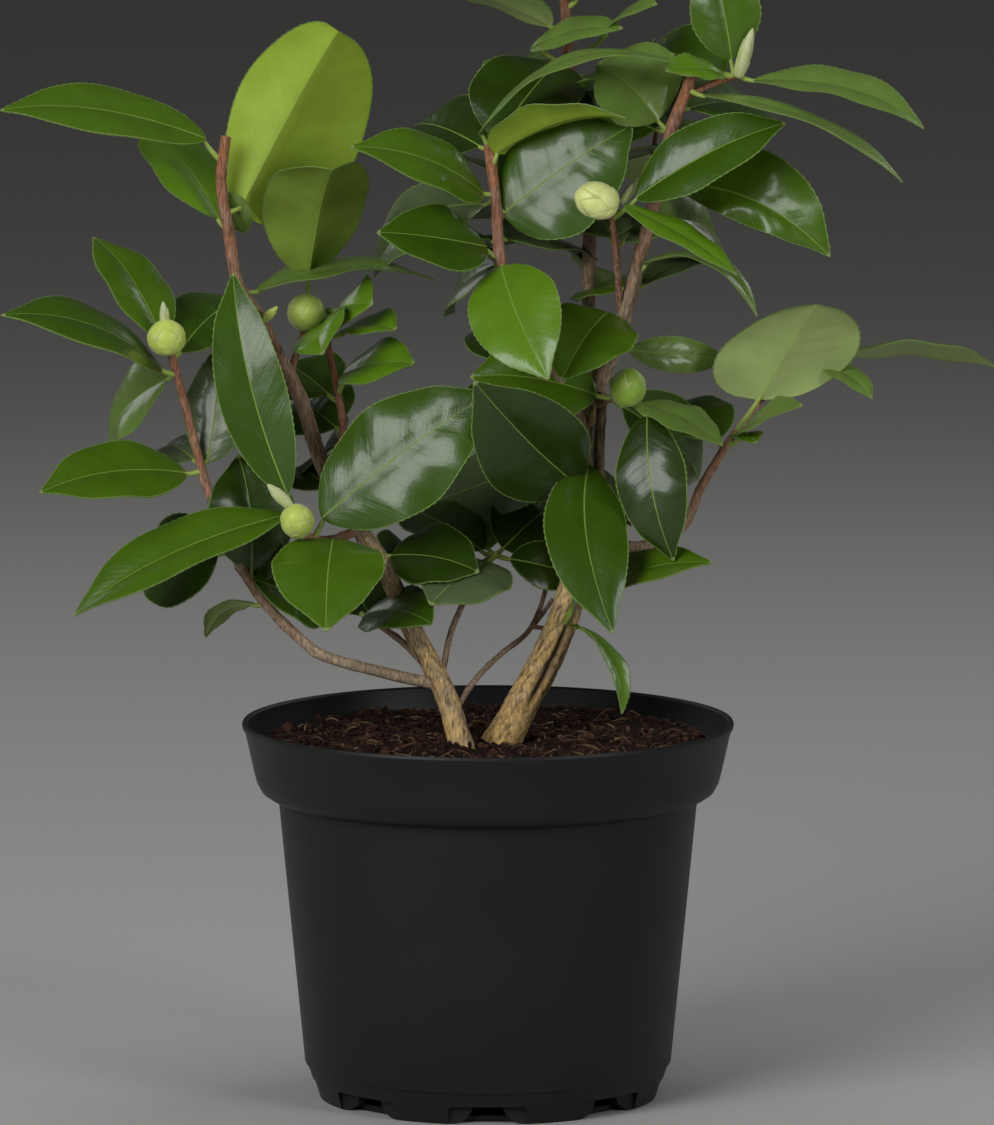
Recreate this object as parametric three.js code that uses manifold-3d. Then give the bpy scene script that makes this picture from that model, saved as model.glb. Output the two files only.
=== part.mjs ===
// Camellia shrub in its nursery pot. Millimetres, +Z up, -Y is the front of the plant.
// The origin is the centre of the pot's flat underside.
import * as THREE from 'three';
import { mergeVertices } from 'three/addons/utils/BufferGeometryUtils.js';
import Module from 'manifold-3d';

const wasm = await Module();
wasm.setup();

// ---------------------------------------------------------------- driving dimensions

const POT_HEIGHT = 146;          // underside to the top of the rim
const RIM_RADIUS = 95;           // outside, at the top of the collar
const COLLAR_FOOT_RADIUS = 89;
const COLLAR_HEIGHT = 29;
const BODY_TOP_RADIUS = 81;      // just under the collar
const BODY_FOOT_RADIUS = 70.5;
const FOOT_HEIGHT = 13;          // the short tapered foot under the body
const FOOT_RADIUS = 66;
const WALL = 2.2;
const FLOOR = 2.4;
const NOTCH_COUNT = 8;           // drainage notches round the foot
const NOTCH_WIDTH = 30;
const NOTCH_HEIGHT = 7;
const NOTCH_INNER_RADIUS = 59;
const NOTCH_OVERCUT = 8;         // how far each notch's cutter stands out of the foot
const POT_SIDES = 32;

const SOIL_LEVEL = 139;          // round the stems
const SOIL_EDGE_RISE = 1.5;      // the peat stands higher against the wall
const SOIL_LEVEL_RADIUS = 50;    // where the peat starts to rise
const SOIL_TO_NOTCH = 3;         // between the peat and the notches, at the floor

const GAP = 0.3;                 // between pieces that meet
const LIMB_SIDES = 5;
const SLEEVE_SIDES = 4;
const LIMB_STEP = 22;            // between the rings along a limb
const FLARE = 0.14;              // how much wider a trunk is at the soil
const FLARE_REACH = 9;
const SLEEVE = 2.6;              // petiole bases stand this far out from a shoot
const LEAF_THICKNESS = 5;        // of a foliage pad, which holds a leaf's curl and its twigs

// ---------------------------------------------------------------- limbs

// Each limb: the diameters of its foot and tip, and its course from foot to tip,
// as places [right, back, up]. It starts inside the limb that carries it.
const LIMBS = {
  trunk_right: { foot: 13.4, tip: 9.5, ground: true, course: [
    [5.1, -8.8, 139], [14, -7, 155], [24, -4, 174], [29, -1, 186], [34, 2, 201], [39, 6, 227],
    [40, 8, 254], [42, 8, 276]] },
  trunk_left: { foot: 8.8, tip: 6.8, ground: true, course: [
    [-9.6, -29.7, 139], [-17, -26, 162], [-30, -18, 186], [-39, -12, 206], [-50, -6, 222]] },
  bough_left_low: { foot: 4.6, tip: 3, course: [
    [-20, -25, 164], [-39, -24, 168], [-64, -22, 175], [-71, -21, 180], [-85, -20, 194],
    [-96, -20, 211], [-106, -21, 235], [-110, -22, 249], [-117, -28, 278], [-121, -34, 294]] },
  bough_left: { foot: 6.5, tip: 4, course: [
    [-50, -6, 222], [-63, 0, 244], [-72, 6, 270], [-82, 4, 290], [-89, 0, 305],
    [-95, -3, 313], [-99, -6, 335], [-102, -8, 356], [-100, -9, 373]] },
  bough_centre: { foot: 5.4, tip: 3.8, course: [
    [40, 8, 250], [28, -4, 279], [12, -10, 303], [5, -12, 325], [3, -12, 349], [0, -10, 371]] },
  bough_grey: { foot: 5.4, tip: 4.2, course: [
    [42, 8, 274], [39, 16, 296], [39, 20, 319], [39, 22, 337], [36, 24, 365], [32, 24, 392],
    [30, 22, 415], [30, 20, 438]] },
  bough_right: { foot: 6.5, tip: 4.2, course: [
    [42, 8, 274], [48, 6, 289], [55, 2, 313], [60, -2, 333], [66, -6, 356], [70, -8, 375],
    [79, -12, 399]] },
  bough_right_low: { foot: 4.6, tip: 2.2, course: [
    [36, 3, 208], [51, 15, 211], [65, 18, 213], [76, 18, 220], [82, 16, 234], [90, 14, 248],
    [95, 12, 256], [112, 22, 275], [126, 28, 286]] },
  twig_left_bud: { foot: 3.4, tip: 2.4, course: [
    [-72, 6, 270], [-76, 12, 277], [-73, 14, 290], [-70, 14, 298]] },
  twig_red: { foot: 3.4, tip: 2.4, course: [
    [-63, 0, 244], [-56, 8, 256], [-58, 14, 272], [-62, 16, 292], [-62, 17, 304]] },
  twig_front_bud: { foot: 4, tip: 2.6, course: [[-49, -6, 221], [-62, -20, 219], [-73, -30, 223]] },
  twig_low_left: { foot: 2.8, tip: 2.4, course: [[-24, -22, 171], [-34, -10, 179], [-49, 0, 188]] },
  twig_low_middle: { foot: 2.6, tip: 2.0, course: [
    [-18, -26, 165], [-14, -14, 183], [-9, -6, 194], [-4, -1, 206], [4, 2, 211]] },
  twig_grey_low: { foot: 2.4, tip: 1.8, course: [
    [-14, -28, 152], [-5, -15, 164], [5, 0, 172], [16, 10, 180], [22, 14, 194], [23, 14, 206]] },
  twig_centre_bud: { foot: 2.8, tip: 2.4, course: [
    [51, 4, 303], [50, -2, 317], [49, -10, 331], [47, -20, 345]] },
  twig_right_bud: { foot: 3.6, tip: 2.6, course: [[41, 8, 268], [48, -4, 272], [53, -12, 274]] },
  twig_top: { foot: 3, tip: 2.2, course: [[75, -10, 388], [86, -6, 393], [96, -2, 396]] },
};

// ---------------------------------------------------------------- foliage

// Each mass: the limb that carries it and its leaves. A leaf is
// [place along the limb 0..1, reach right, back, up, width, upper side looks right, back, up].
const FOLIAGE = {
  mass_left_top: ['bough_left', [
    [0.94, -84, -14, 21, 31, 0, -0.52, 0.85], [0.9, 9, 12, -22, 14, -0.29, -0.91, 0.28]]],
  mass_left_crest: ['bough_left', [
    [0.82, 43.5, -9, 70.5, 59, -0.1, 0.8, 0.45], [0.78, -35, 36, 35, 36, 0.7, -0.75, 0.2]]],
  mass_left_arch: ['bough_left', [
    [0.63, 74, 25, 2, 30, 0, -0.1, 1]]],
  mass_left_bud_leaf: ['twig_left_bud', [
    [0.98, 11, -44, 65, 44, -0.2, 0.8, 0.5]]],
  mass_left_tip: ['bough_left_low', [
    [0.99, -31, 35, 41, 29, 0.5, -0.55, 0.65], [0.98, 28, 61, 15, 32, 0, -0.6, 0.8],
    [0.94, -65, -32, 26, 35, 0.15, -0.4, 0.9], [0.95, -27, 33, -31, 32, -0.5, -0.6, 0.6]]],
  mass_left_side: ['bough_left_low', [
    [0.72, -61, -28, -5, 31, 0, -0.65, 0.75], [0.73, 6, 14, 45, 26, -0.29, -0.91, 0.28],
    [0.74, -15, 36, 1, 26, -0.3, -0.3, 0.9]]],
  mass_left_inner: ['bough_left_low', [
    [0.54, -36, 20, -13, 40, -0.2, -0.8, 0.5], [0.45, -6, 10, 50, 36, 0.35, -0.85, 0.45]]],
  mass_left_low: ['bough_left_low', [
    [0.42, 0, 14, 26, 22, -0.4, -0.8, 0.4], [0.47, 30, 16, -19, 30, 0, -0.6, 0.75],
    [0.41, -23, 5, -14, 16, 0, 0.3, 0.9]]],
  mass_front_left: ['twig_front_bud', [
    [0.98, -85, -20, -29, 32, -0.2, -0.5, 0.85], [0.98, -25, 20, 98, 27, -0.1, -0.96, 0.26]]],
  mass_front_right: ['twig_front_bud', [
    [0.6, 2, -52, -28, 43, 0, -0.5, 0.85], [0.74, 68, -6, 57, 46, -0.3, -0.9, 0.28]]],
  mass_low_left: ['twig_low_left', [
    [0.98, 27, -42, 2, 28, 0.1, -0.75, 0.65], [0.8, -16, 44, 14, 32, 0, -0.4, 0.9]]],
  mass_fork_left: ['trunk_left', [
    [0.88, 40, -14, -6, 34, 0, -0.6, 0.8], [0.84, 21, 40, -14, 36, 0, -0.7, 0.7]]],
  mass_low_middle: ['twig_low_middle', [
    [0.98, -25, -40, -14, 38, -0.3, -0.85, 0.4], [0.96, -36, 37, 14, 30, 0, -0.4, 0.9],
    [0.98, 19, 38, 12, 32, 0, -0.9, 0.3], [0.98, -17, 36, 10, 26, 0.2, -0.8, 0.5],
    [0.98, 33, 18, -12, 20, 0, -0.8, 0.5]]],
  mass_red_twig: ['twig_red', [
    [0.99, 18, -23, 5, 28, -0.3, -0.6, 0.7], [0.97, -1, -41, -11, 26, -0.6, -0.5, 0.6],
    [0.85, 27, -20, 4, 26, 0, -0.3, 1]]],
  mass_middle: ['twig_red', [
    [0.5, 30, -22, 14, 28, 0.2, -0.6, 0.75], [0.45, -21, 21, 12, 34, 0, -0.5, 0.85],
    [0.26, -17, 36, 9, 34, -0.3, -0.5, 0.8], [0.23, -10, 30, -16, 32, 0, -0.7, 0.6]]],
  mass_trunk_front: ['trunk_right', [
    [0.8, -45, -48, 36, 42, 0.35, -0.8, -0.4], [0.82, 8, -54, -63, 32, 0.1, -0.85, 0.5],
    [0.84, -62, 34, -27, 28, -0.29, -0.91, 0.28]]],
  mass_trunk_side: ['trunk_right', [
    [0.44, 54, -31, 17, 24, 0, -0.55, 0.85], [0.46, 30, 33, 12, 28, 0, -0.2, 0.95],
    [0.38, 22, -50, -30, 14, 0.65, -0.25, 0.7]]],
  mass_bud_front: ['twig_right_bud', [
    [0.93, 19, -15, -62, 28, -0.29, -0.91, 0.24], [0.97, 37, -20, -17, 24, 0, -0.2, 1]]],
  mass_bud_back: ['twig_right_bud', [
    [0.62, -55, 0, 8, 38, 0.1, -0.75, 0.65], [0.6, 34, 36, -36, 34, 0.3, -0.8, 0.5],
    [0.64, 21, 52, -17, 30, 0.2, -0.5, 0.8]]],
  mass_centre_front: ['bough_centre', [
    [0.65, 18, -44, -40, 36, -0.35, -0.7, 0.7], [0.66, -18, 52, -26, 30, -0.4, -0.6, 0.6]]],
  mass_centre_foot: ['bough_centre', [
    [0.25, -35, 40, 14, 34, 0, -0.4, 0.9]]],
  mass_centre_low: ['bough_centre', [
    [0.66, -47, -18, 12, 32, 0, -0.7, 0.7], [0.72, -17, 56, -12, 34, 0, 0.6, 0.8],
    [0.73, 35, 56, -18, 36, 0, -0.5, 0.85]]],
  mass_centre_high: ['bough_centre', [
    [0.85, -55, -24, 20, 33, 0, -0.6, 0.8], [0.84, -47, 42, -35, 26, -0.3, -0.8, 0.5],
    [0.81, 52, -4, 32, 49, -0.29, -0.91, 0.28]]],
  mass_centre_top: ['bough_centre', [
    [0.98, -29, 44, 5, 40, 0, -0.8, 0.6], [0.98, 28, 40, 30, 46, -0.3, -0.8, 0.5]]],
  mass_centre_arch: ['bough_centre', [
    [0.99, 71, -16, 33, 26, 0, -0.15, 1], [0.93, 51, -29, 21, 33, -0.15, 0.45, 0.9]]],
  mass_right_foot: ['bough_right', [
    [0.13, 44, 18, -6, 14, 0.38, -0.9, 0.22], [0.2, -23, -44, -16, 38, 0.1, -0.5, 0.85]]],
  mass_right_side: ['bough_right', [
    [0.33, -21, 28, -9, 24, 0, -0.4, 0.9], [0.32, 28, 28, 7, 14, 0, -0.3, 0.95],
    [0.36, 46, -35, -12, 15, 0.2, -0.2, 0.95]]],
  mass_bud_top: ['twig_centre_bud', [
    [0.95, 47, -31, -19, 20, 0.1, -0.2, 1], [0.93, 66, -4, 37, 29, -0.1, -0.75, 0.65],
    [0.65, 15, 30, 6, 26, 0, -0.5, 0.85]]],
  mass_right_back: ['bough_right', [
    [0.55, 27, 46, -15, 28, 0.2, -0.8, 0.5], [0.64, 65, -15, -26, 29, -0.29, -0.91, 0.28]]],
  mass_right_inner: ['bough_right', [
    [0.8, -28, 6, 26, 44, 0.5, -0.8, 0.35], [0.8, -11, 52, 18, 34, -0.2, -0.8, 0.6],
    [0.8, -49, 26, 8, 26, -0.25, -0.85, 0.4]]],
  mass_right_top: ['bough_right', [
    [0.88, 36, 50, -9, 38, 0, -0.6, 0.8], [0.94, 81, -33, -33, 18, 0.1, -0.1, 1]]],
  mass_top: ['twig_top', [
    [0.98, 70, -28, -18, 24, 0.2, -0.42, 0.9], [0.97, -35, 34, 5, 28, 0, -0.8, 0.6],
    [0.93, -10, 4, 47, 28, 0.1, -0.8, 0.5], [0.98, -28, -18, 3, 18, 0, -0.5, 0.85]]],
  mass_crown_fold: ['bough_grey', [
    [0.75, 20, -34, 18, 17, 0, -0.6, 0.8], [0.76, 33, -40, 26, 18, 0.2, -0.6, 0.75]]],
  mass_crown_top: ['bough_grey', [
    [0.84, -56, -28, 17, 34, 0, 0.3, 1], [0.89, 28, -22, 28, 32, 0, -0.5, 0.85],
    [0.97, -18, 10, 24, 28, 0, -0.5, 0.85], [0.98, 9, -20, 28, 28, 0, -0.5, 0.85]]],
  mass_right_end: ['bough_right_low', [
    [0.66, 31, -9, 51, 48, -0.1, 0.95, 0.3], [0.62, 28, -33, 19, 22, -0.1, -0.5, 0.85],
    [0.61, -20, 33, 13, 30, 0, -0.5, 0.85]]],
  mass_right_far: ['bough_right_low', [
    [0.98, 75, 24, -7, 32, 0, 0.3, 1], [0.98, 24, -21, -14, 14, 0.5, -0.6, 0.6]]],
};

// The back of the crown: each spray is a twig from a limb [reach right, back, up] with
// leaves that turn round it by the angle of the bud spiral.
const SPRAYS = {
  mass_spray_upper: ['bough_grey', 0.36, [-18, 68, 26]],
  mass_spray_middle: ['trunk_right', 0.72, [-16, 78, 22]],
  mass_spray_left: ['bough_left', 0.14, [-4, 82, 24]],
  mass_spray_right: ['bough_right', 0.5, [22, 66, 10]],
};
const SPRAY_TWIG = 4;            // diameter
const SPRAY_FIRST = 0.45;        // places of its first and last leaf along the twig, 0..1
const SPRAY_LAST = 0.96;
const SPRAY_LEAVES = 4;
const SPRAY_LEAF = 58;           // length
const SPRAY_LEAF_WIDTH = 34;
const BUD_SPIRAL = 137.5;        // degrees from one leaf to the next
const SPRAY_SPREAD = 52;         // degrees from the twig to a leaf
const SPRAY_FACE = [0, 0.2, 1];  // where the upper sides look

// ---------------------------------------------------------------- solids

const vec = (p) => new THREE.Vector3(...p);

// Joins and cuts work on closed solids; shared vertices are merged first.
function solidOf(geometry) {
  const bare = geometry.clone();
  bare.deleteAttribute('normal');
  bare.deleteAttribute('uv');
  const merged = mergeVertices(bare, 1e-4);
  return new wasm.Manifold(new wasm.Mesh({
    numProp: 3,
    vertProperties: new Float32Array(merged.attributes.position.array),
    triVerts: new Uint32Array(merged.index.array),
  }));
}

// A cut can leave crumbs; the piece itself is the largest part.
function geometryOf(solid) {
  const parts = solid.decompose();
  const largest = parts.reduce((a, b) => (b.volume() > a.volume() ? b : a));
  const mesh = largest.getMesh();
  const geometry = new THREE.BufferGeometry();
  geometry.setAttribute('position', new THREE.BufferAttribute(mesh.vertProperties, 3));
  geometry.setIndex(new THREE.BufferAttribute(mesh.triVerts, 1));
  geometry.computeVertexNormals();
  return geometry;
}

// A closed skin over rings of points, with a point at each end.
function skinOver(start, rings, end) {
  const points = [start, ...rings.flat(), end];
  const count = rings[0].length;
  const last = points.length - 1;
  const faces = [];
  for (let i = 0; i < count; i += 1) {
    const next = (i + 1) % count;
    faces.push(0, 1 + next, 1 + i);
    for (let ring = 0; ring < rings.length - 1; ring += 1) {
      const a = 1 + ring * count;
      const b = a + count;
      faces.push(a + i, a + next, b + next, a + i, b + next, b + i);
    }
    const top = last - count;
    faces.push(last, top + i, top + next);
  }
  const geometry = new THREE.BufferGeometry();
  geometry.setAttribute('position',
    new THREE.Float32BufferAttribute(points.flatMap((p) => p.toArray()), 3));
  geometry.setIndex(faces);
  return geometry;
}

// ---------------------------------------------------------------- limbs as solids

const curveOf = {};
for (const [name, limb] of Object.entries(LIMBS)) {
  curveOf[name] = new THREE.CatmullRomCurve3(limb.course.map(vec), false, 'centripetal');
}

function limbRadius(name, at) {
  const limb = LIMBS[name];
  const radius = THREE.MathUtils.lerp(limb.foot, limb.tip, at) / 2;
  const fromGround = at * curveOf[name].getLength();
  return limb.ground ? radius * (1 + FLARE * Math.exp(-fromGround / FLARE_REACH)) : radius;
}

// A tapering tube along a curve. A trunk's first ring lies flat on the soil.
function tube(curve, radiusAt, { ground = false, grow = 0, sides = LIMB_SIDES } = {}) {
  const steps = Math.max(1, Math.ceil(curve.getLength() / LIMB_STEP));
  const frames = curve.computeFrenetFrames(steps, false);
  const rings = [];
  for (let step = 0; step <= steps; step += 1) {
    const at = step / steps;
    const centre = curve.getPointAt(at);
    let side = frames.normals[step];
    let other = frames.binormals[step];
    if (ground && step === 0) {
      centre.z += GAP;
      side = new THREE.Vector3(side.x, side.y, 0).normalize();
      other = new THREE.Vector3(0, 0, 1).cross(side);
      if (other.dot(frames.binormals[0]) < 0) other.negate();
    }
    const radius = radiusAt(at) + grow;
    rings.push(Array.from({ length: sides }, (_, i) => {
      const turn = (i / sides) * Math.PI * 2;
      return centre.clone()
        .addScaledVector(side, Math.cos(turn) * radius)
        .addScaledVector(other, Math.sin(turn) * radius);
    }));
  }
  const centreOf = (ring) => ring.reduce((sum, p) => sum.add(p), new THREE.Vector3())
    .divideScalar(ring.length);
  return solidFacingOut(skinOver(centreOf(rings[0]), rings, centreOf(rings.at(-1))));
}

function solidFacingOut(geometry) {
  const solid = solidOf(geometry);
  if (solid.volume() > 0) return solid;
  const index = geometry.index.array;
  for (let i = 0; i < index.length; i += 3) [index[i], index[i + 1]] = [index[i + 1], index[i]];
  return solidOf(geometry);
}

function limbSolid(name, grow = 0) {
  return tube(curveOf[name], (at) => limbRadius(name, at), { ground: LIMBS[name].ground, grow });
}

// ---------------------------------------------------------------- foliage as solids

// Sections along a leaf: how far along, and its share of the full width and thickness.
const LEAF_SECTIONS = [[0.2, 0.78, 0.9], [0.5, 1, 1], [0.8, 0.64, 0.75]];
const SHORT_LEAF_SECTIONS = [[0.28, 0.94, 1], [0.68, 0.86, 0.9]];
const SHORT_LEAF = 64;
const LEAF_ARCH = 0.06;          // rise of the middle, as a share of the length

function leafPad(foot, reach, width, face, grow = 0) {
  const length = reach.length();
  const along = reach.clone().normalize();
  const upper = face.clone().addScaledVector(along, -face.dot(along)).normalize();
  const side = along.clone().cross(upper);
  const pointAt = (at) => foot.clone().addScaledVector(reach, at)
    .addScaledVector(upper, LEAF_ARCH * length * 4 * at * (1 - at));
  const sections = length < SHORT_LEAF ? SHORT_LEAF_SECTIONS : LEAF_SECTIONS;
  const rings = sections.map(([at, wide, thick]) => {
    const half = (width / 2) * wide + grow;
    const lift = (LEAF_THICKNESS / 2) * thick + grow;
    const centre = pointAt(at);
    return [[half, 0], [0, lift], [-half, 0], [0, -lift]].map(([across, up]) => centre.clone()
      .addScaledVector(side, across)
      .addScaledVector(upper, up));
  });
  const start = pointAt(0).addScaledVector(along, -grow);
  const end = pointAt(1).addScaledVector(along, grow);
  return solidFacingOut(skinOver(start, rings, end));
}

// The short sleeve of petiole bases round the limb that joins a mass's leaves.
function sleeve(limb, from, to, grow) {
  const curve = curveOf[limb];
  const length = curve.getLength();
  const start = Math.max(0, from - SLEEVE / length);
  const end = Math.min(1, to + SLEEVE / length);
  const part = new THREE.CatmullRomCurve3(
    [0, 0.5, 1].map((t) => curve.getPointAt(start + (end - start) * t)));
  return tube(part, (at) => limbRadius(limb, start + (end - start) * at) + SLEEVE,
    { grow, sides: SLEEVE_SIDES });
}

function massSolid([limb, leaves], grow = 0) {
  const places = leaves.map((leaf) => leaf[0]);
  return leaves.reduce((mass, [at, right, back, up, width, ...face]) => mass.add(
    leafPad(curveOf[limb].getPointAt(at), vec([right, back, up]), width, vec(face), grow),
  ), sleeve(limb, Math.min(...places), Math.max(...places), grow));
}

function spraySolid([limb, at, reach], grow = 0) {
  const foot = curveOf[limb].getPointAt(at);
  const run = vec(reach);
  const along = run.clone().normalize();
  const twig = new THREE.LineCurve3(foot, foot.clone().add(run));
  const side = along.clone().cross(new THREE.Vector3(0, 0, 1)).normalize();
  const spread = THREE.MathUtils.degToRad(SPRAY_SPREAD);
  let mass = tube(twig, () => SPRAY_TWIG / 2, { grow, sides: SLEEVE_SIDES });
  for (let i = 0; i < SPRAY_LEAVES; i += 1) {
    const place = THREE.MathUtils.lerp(SPRAY_FIRST, SPRAY_LAST, i / (SPRAY_LEAVES - 1));
    const out = side.clone().applyAxisAngle(along, THREE.MathUtils.degToRad(BUD_SPIRAL * i));
    const way = along.clone().multiplyScalar(Math.cos(spread))
      .addScaledVector(out, Math.sin(spread));
    mass = mass.add(leafPad(twig.getPoint(place), way.multiplyScalar(SPRAY_LEAF),
      SPRAY_LEAF_WIDTH, vec(SPRAY_FACE), grow));
  }
  return mass;
}

// ---------------------------------------------------------------- pot and soil

function lathe(profile, sides) {
  return new THREE.LatheGeometry(profile.map(([r, z]) => new THREE.Vector2(r, z)), sides)
    .rotateX(Math.PI / 2);
}

const COLLAR_FOOT = POT_HEIGHT - COLLAR_HEIGHT;

function potSolid() {
  let pot = solidFacingOut(lathe([
    [0, 0], [FOOT_RADIUS, 0], [BODY_FOOT_RADIUS, FOOT_HEIGHT],
    [BODY_TOP_RADIUS, COLLAR_FOOT], [COLLAR_FOOT_RADIUS, COLLAR_FOOT],
    [RIM_RADIUS, POT_HEIGHT], [RIM_RADIUS - WALL, POT_HEIGHT],
    [COLLAR_FOOT_RADIUS - WALL, COLLAR_FOOT + WALL],
    [BODY_TOP_RADIUS - WALL, COLLAR_FOOT + WALL],
    [BODY_FOOT_RADIUS - WALL, FOOT_HEIGHT], [FOOT_RADIUS - WALL, FLOOR], [0, FLOOR],
  ], POT_SIDES));
  const deep = FOOT_RADIUS + NOTCH_OVERCUT - NOTCH_INNER_RADIUS;
  for (let i = 0; i < NOTCH_COUNT; i += 1) {
    const notch = new THREE.BoxGeometry(NOTCH_WIDTH, deep, NOTCH_HEIGHT * 2)
      .translate(0, -NOTCH_INNER_RADIUS - deep / 2, 0)
      .rotateZ((i / NOTCH_COUNT) * Math.PI * 2);
    pot = pot.subtract(solidOf(notch));
  }
  return pot;
}

// The peat fills the pot to just under the rim, clear of the drainage notches.
function soilSolid() {
  const slopeRadius = (z) => THREE.MathUtils.mapLinear(
    z, COLLAR_FOOT, POT_HEIGHT, COLLAR_FOOT_RADIUS, RIM_RADIUS) - WALL - GAP * 2;
  const edge = SOIL_LEVEL + SOIL_EDGE_RISE;
  const onShelf = COLLAR_FOOT + WALL + GAP;
  const inFloor = NOTCH_INNER_RADIUS - SOIL_TO_NOTCH;
  return solidFacingOut(lathe([
    [0, FLOOR + GAP], [inFloor, FLOOR + GAP], [inFloor, FOOT_HEIGHT],
    [BODY_FOOT_RADIUS - WALL - GAP, FOOT_HEIGHT],
    [BODY_TOP_RADIUS - WALL - GAP, onShelf], [slopeRadius(onShelf), onShelf],
    [slopeRadius(edge), edge], [SOIL_LEVEL_RADIUS, SOIL_LEVEL], [0, SOIL_LEVEL],
  ], POT_SIDES));
}

// ---------------------------------------------------------------- the assembled plant

const plant = new THREE.Group();

function addPiece(name, solid, color, roughness) {
  const material = new THREE.MeshStandardMaterial({ color, roughness, metalness: 0 });
  const mesh = new THREE.Mesh(geometryOf(solid), material);
  mesh.name = name;
  plant.add(mesh);
}

addPiece('pot', potSolid(), '#232323', 0.45);
addPiece('soil', soilSolid(), '#2a1912', 1);

// Every limb is cut back from the limbs that carry it, and every mass from the limbs
// and from the masses before it, so that pieces meet across a thin gap.
const BARK = { trunk: '#b89468', bough: '#8f6a4c', twig: '#7d5a46' };
let taken = null;
for (const [name, limb] of Object.entries(LIMBS)) {
  const whole = limbSolid(name);
  addPiece(name, taken ? whole.subtract(taken) : whole, BARK[name.split('_')[0]], 0.85);
  const grown = limbSolid(name, GAP);
  taken = taken ? taken.add(grown) : grown;
}

const LEAF_GREEN = '#3f6a20';
const masses = [
  ...Object.entries(FOLIAGE).map(([name, mass]) => [name, massSolid, mass]),
  ...Object.entries(SPRAYS).map(([name, spray]) => [name, spraySolid, spray]),
];
for (const [name, build, row] of masses) {
  addPiece(name, build(row).subtract(taken), LEAF_GREEN, 0.5);
  taken = taken.add(build(row, GAP));
}

export default plant;
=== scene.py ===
# A camellia shrub in its nursery pot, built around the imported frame.
# Metres, +Z is up and -Y is the front.
import math
import random

import bpy
import numpy as np
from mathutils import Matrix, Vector, noise
from mathutils.bvhtree import BVHTree


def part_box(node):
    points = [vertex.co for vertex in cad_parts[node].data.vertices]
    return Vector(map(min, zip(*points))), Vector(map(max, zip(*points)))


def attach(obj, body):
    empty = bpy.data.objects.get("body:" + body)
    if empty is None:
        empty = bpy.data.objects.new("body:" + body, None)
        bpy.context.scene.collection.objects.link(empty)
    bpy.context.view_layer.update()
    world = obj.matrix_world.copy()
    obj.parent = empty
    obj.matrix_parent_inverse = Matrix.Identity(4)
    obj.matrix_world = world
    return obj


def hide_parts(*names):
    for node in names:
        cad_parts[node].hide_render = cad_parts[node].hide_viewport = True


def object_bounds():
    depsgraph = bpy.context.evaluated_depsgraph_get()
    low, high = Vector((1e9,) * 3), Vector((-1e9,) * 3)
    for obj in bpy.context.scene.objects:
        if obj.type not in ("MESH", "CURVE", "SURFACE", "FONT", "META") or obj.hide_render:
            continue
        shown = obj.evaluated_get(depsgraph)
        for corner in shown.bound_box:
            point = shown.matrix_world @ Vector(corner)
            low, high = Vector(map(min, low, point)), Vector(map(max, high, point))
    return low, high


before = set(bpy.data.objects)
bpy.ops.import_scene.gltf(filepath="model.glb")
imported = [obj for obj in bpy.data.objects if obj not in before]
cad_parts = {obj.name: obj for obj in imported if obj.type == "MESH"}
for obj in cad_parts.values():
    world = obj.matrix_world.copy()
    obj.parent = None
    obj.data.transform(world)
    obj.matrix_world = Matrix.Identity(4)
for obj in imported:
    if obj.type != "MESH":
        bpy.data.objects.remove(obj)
cad_low, cad_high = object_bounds()
MM = 0.001

# ---------------------------------------------------------------- studio
# A pale sheet of card under the pot, large soft boxes in front, one overhead and two behind,
# and a long lens a little above the crown. None of it belongs to the plant.


def set_sockets(node, sockets):
    """Gives each named socket of a node its value, or the output that feeds it."""
    for name, source in sockets.items():
        if isinstance(source, bpy.types.NodeSocket):
            node.id_data.links.new(source, node.inputs[name])
        else:
            node.inputs[name].default_value = source


def add_node(tree, kind, sockets, output=0, **settings):
    """Adds a node with its settings and what its sockets take, and returns one output."""
    node = tree.nodes.new("ShaderNode" + kind)
    for name, value in settings.items():
        setattr(node, name, value)
    set_sockets(node, sockets)
    return node.outputs[output]


def linear(hex_colour, light=1):
    """An sRGB hex colour as linear red, green, blue and full alpha, at a share of its light."""
    shares = [int(hex_colour[i:i + 2], 16) / 255 for i in (1, 3, 5)]
    return (*[light * (c / 12.92 if c <= 0.04045 else ((c + 0.055) / 1.055) ** 2.4)
              for c in shares], 1)


def new_material(name):
    """A material with its node tree, its principled surface and its object coordinates."""
    material = bpy.data.materials.new(name)
    material.use_nodes = True
    tree = material.node_tree
    place = add_node(tree, "TexCoord", {}, "Object")
    return material, tree, tree.nodes["Principled BSDF"], place


def mottled_material(name, dark, light, patch, detail, sockets):
    """A material that drifts between two tints in patches of the given size, in metres."""
    material, tree, surface, place = new_material(name)
    drift = add_node(tree, "TexNoise", {"Scale": 1 / patch, "Detail": detail, "Vector": place})
    tint = add_node(tree, "Mix", {0: drift, 6: dark, 7: light}, 2, data_type="RGBA")
    set_sockets(surface, {"Base Color": tint, **sockets})
    return material


# Coated display card: even and dull, with a grain too fine to cast a shadow.
CARD_GRAIN = MM / 0.3
card = mottled_material("coated_card", linear("#b4b4b2"), linear("#bcbcba"), CARD_GRAIN, 3,
                        {"Roughness": 0.8})

FLOOR_SIZE = 60
bpy.ops.object.select_all(action="DESELECT")
bpy.ops.mesh.primitive_plane_add(size=FLOOR_SIZE)
floor = bpy.context.object
floor.name = "studio_floor"
floor.data.materials.append(card)

studio = bpy.data.worlds.new("studio_air")
studio.use_nodes = True
set_sockets(studio.node_tree.nodes["Background"], {"Color": linear("#f3f1ec"), "Strength": 0.06})
bpy.context.scene.world = studio
bpy.context.scene.view_settings.view_transform = "Standard"

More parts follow.
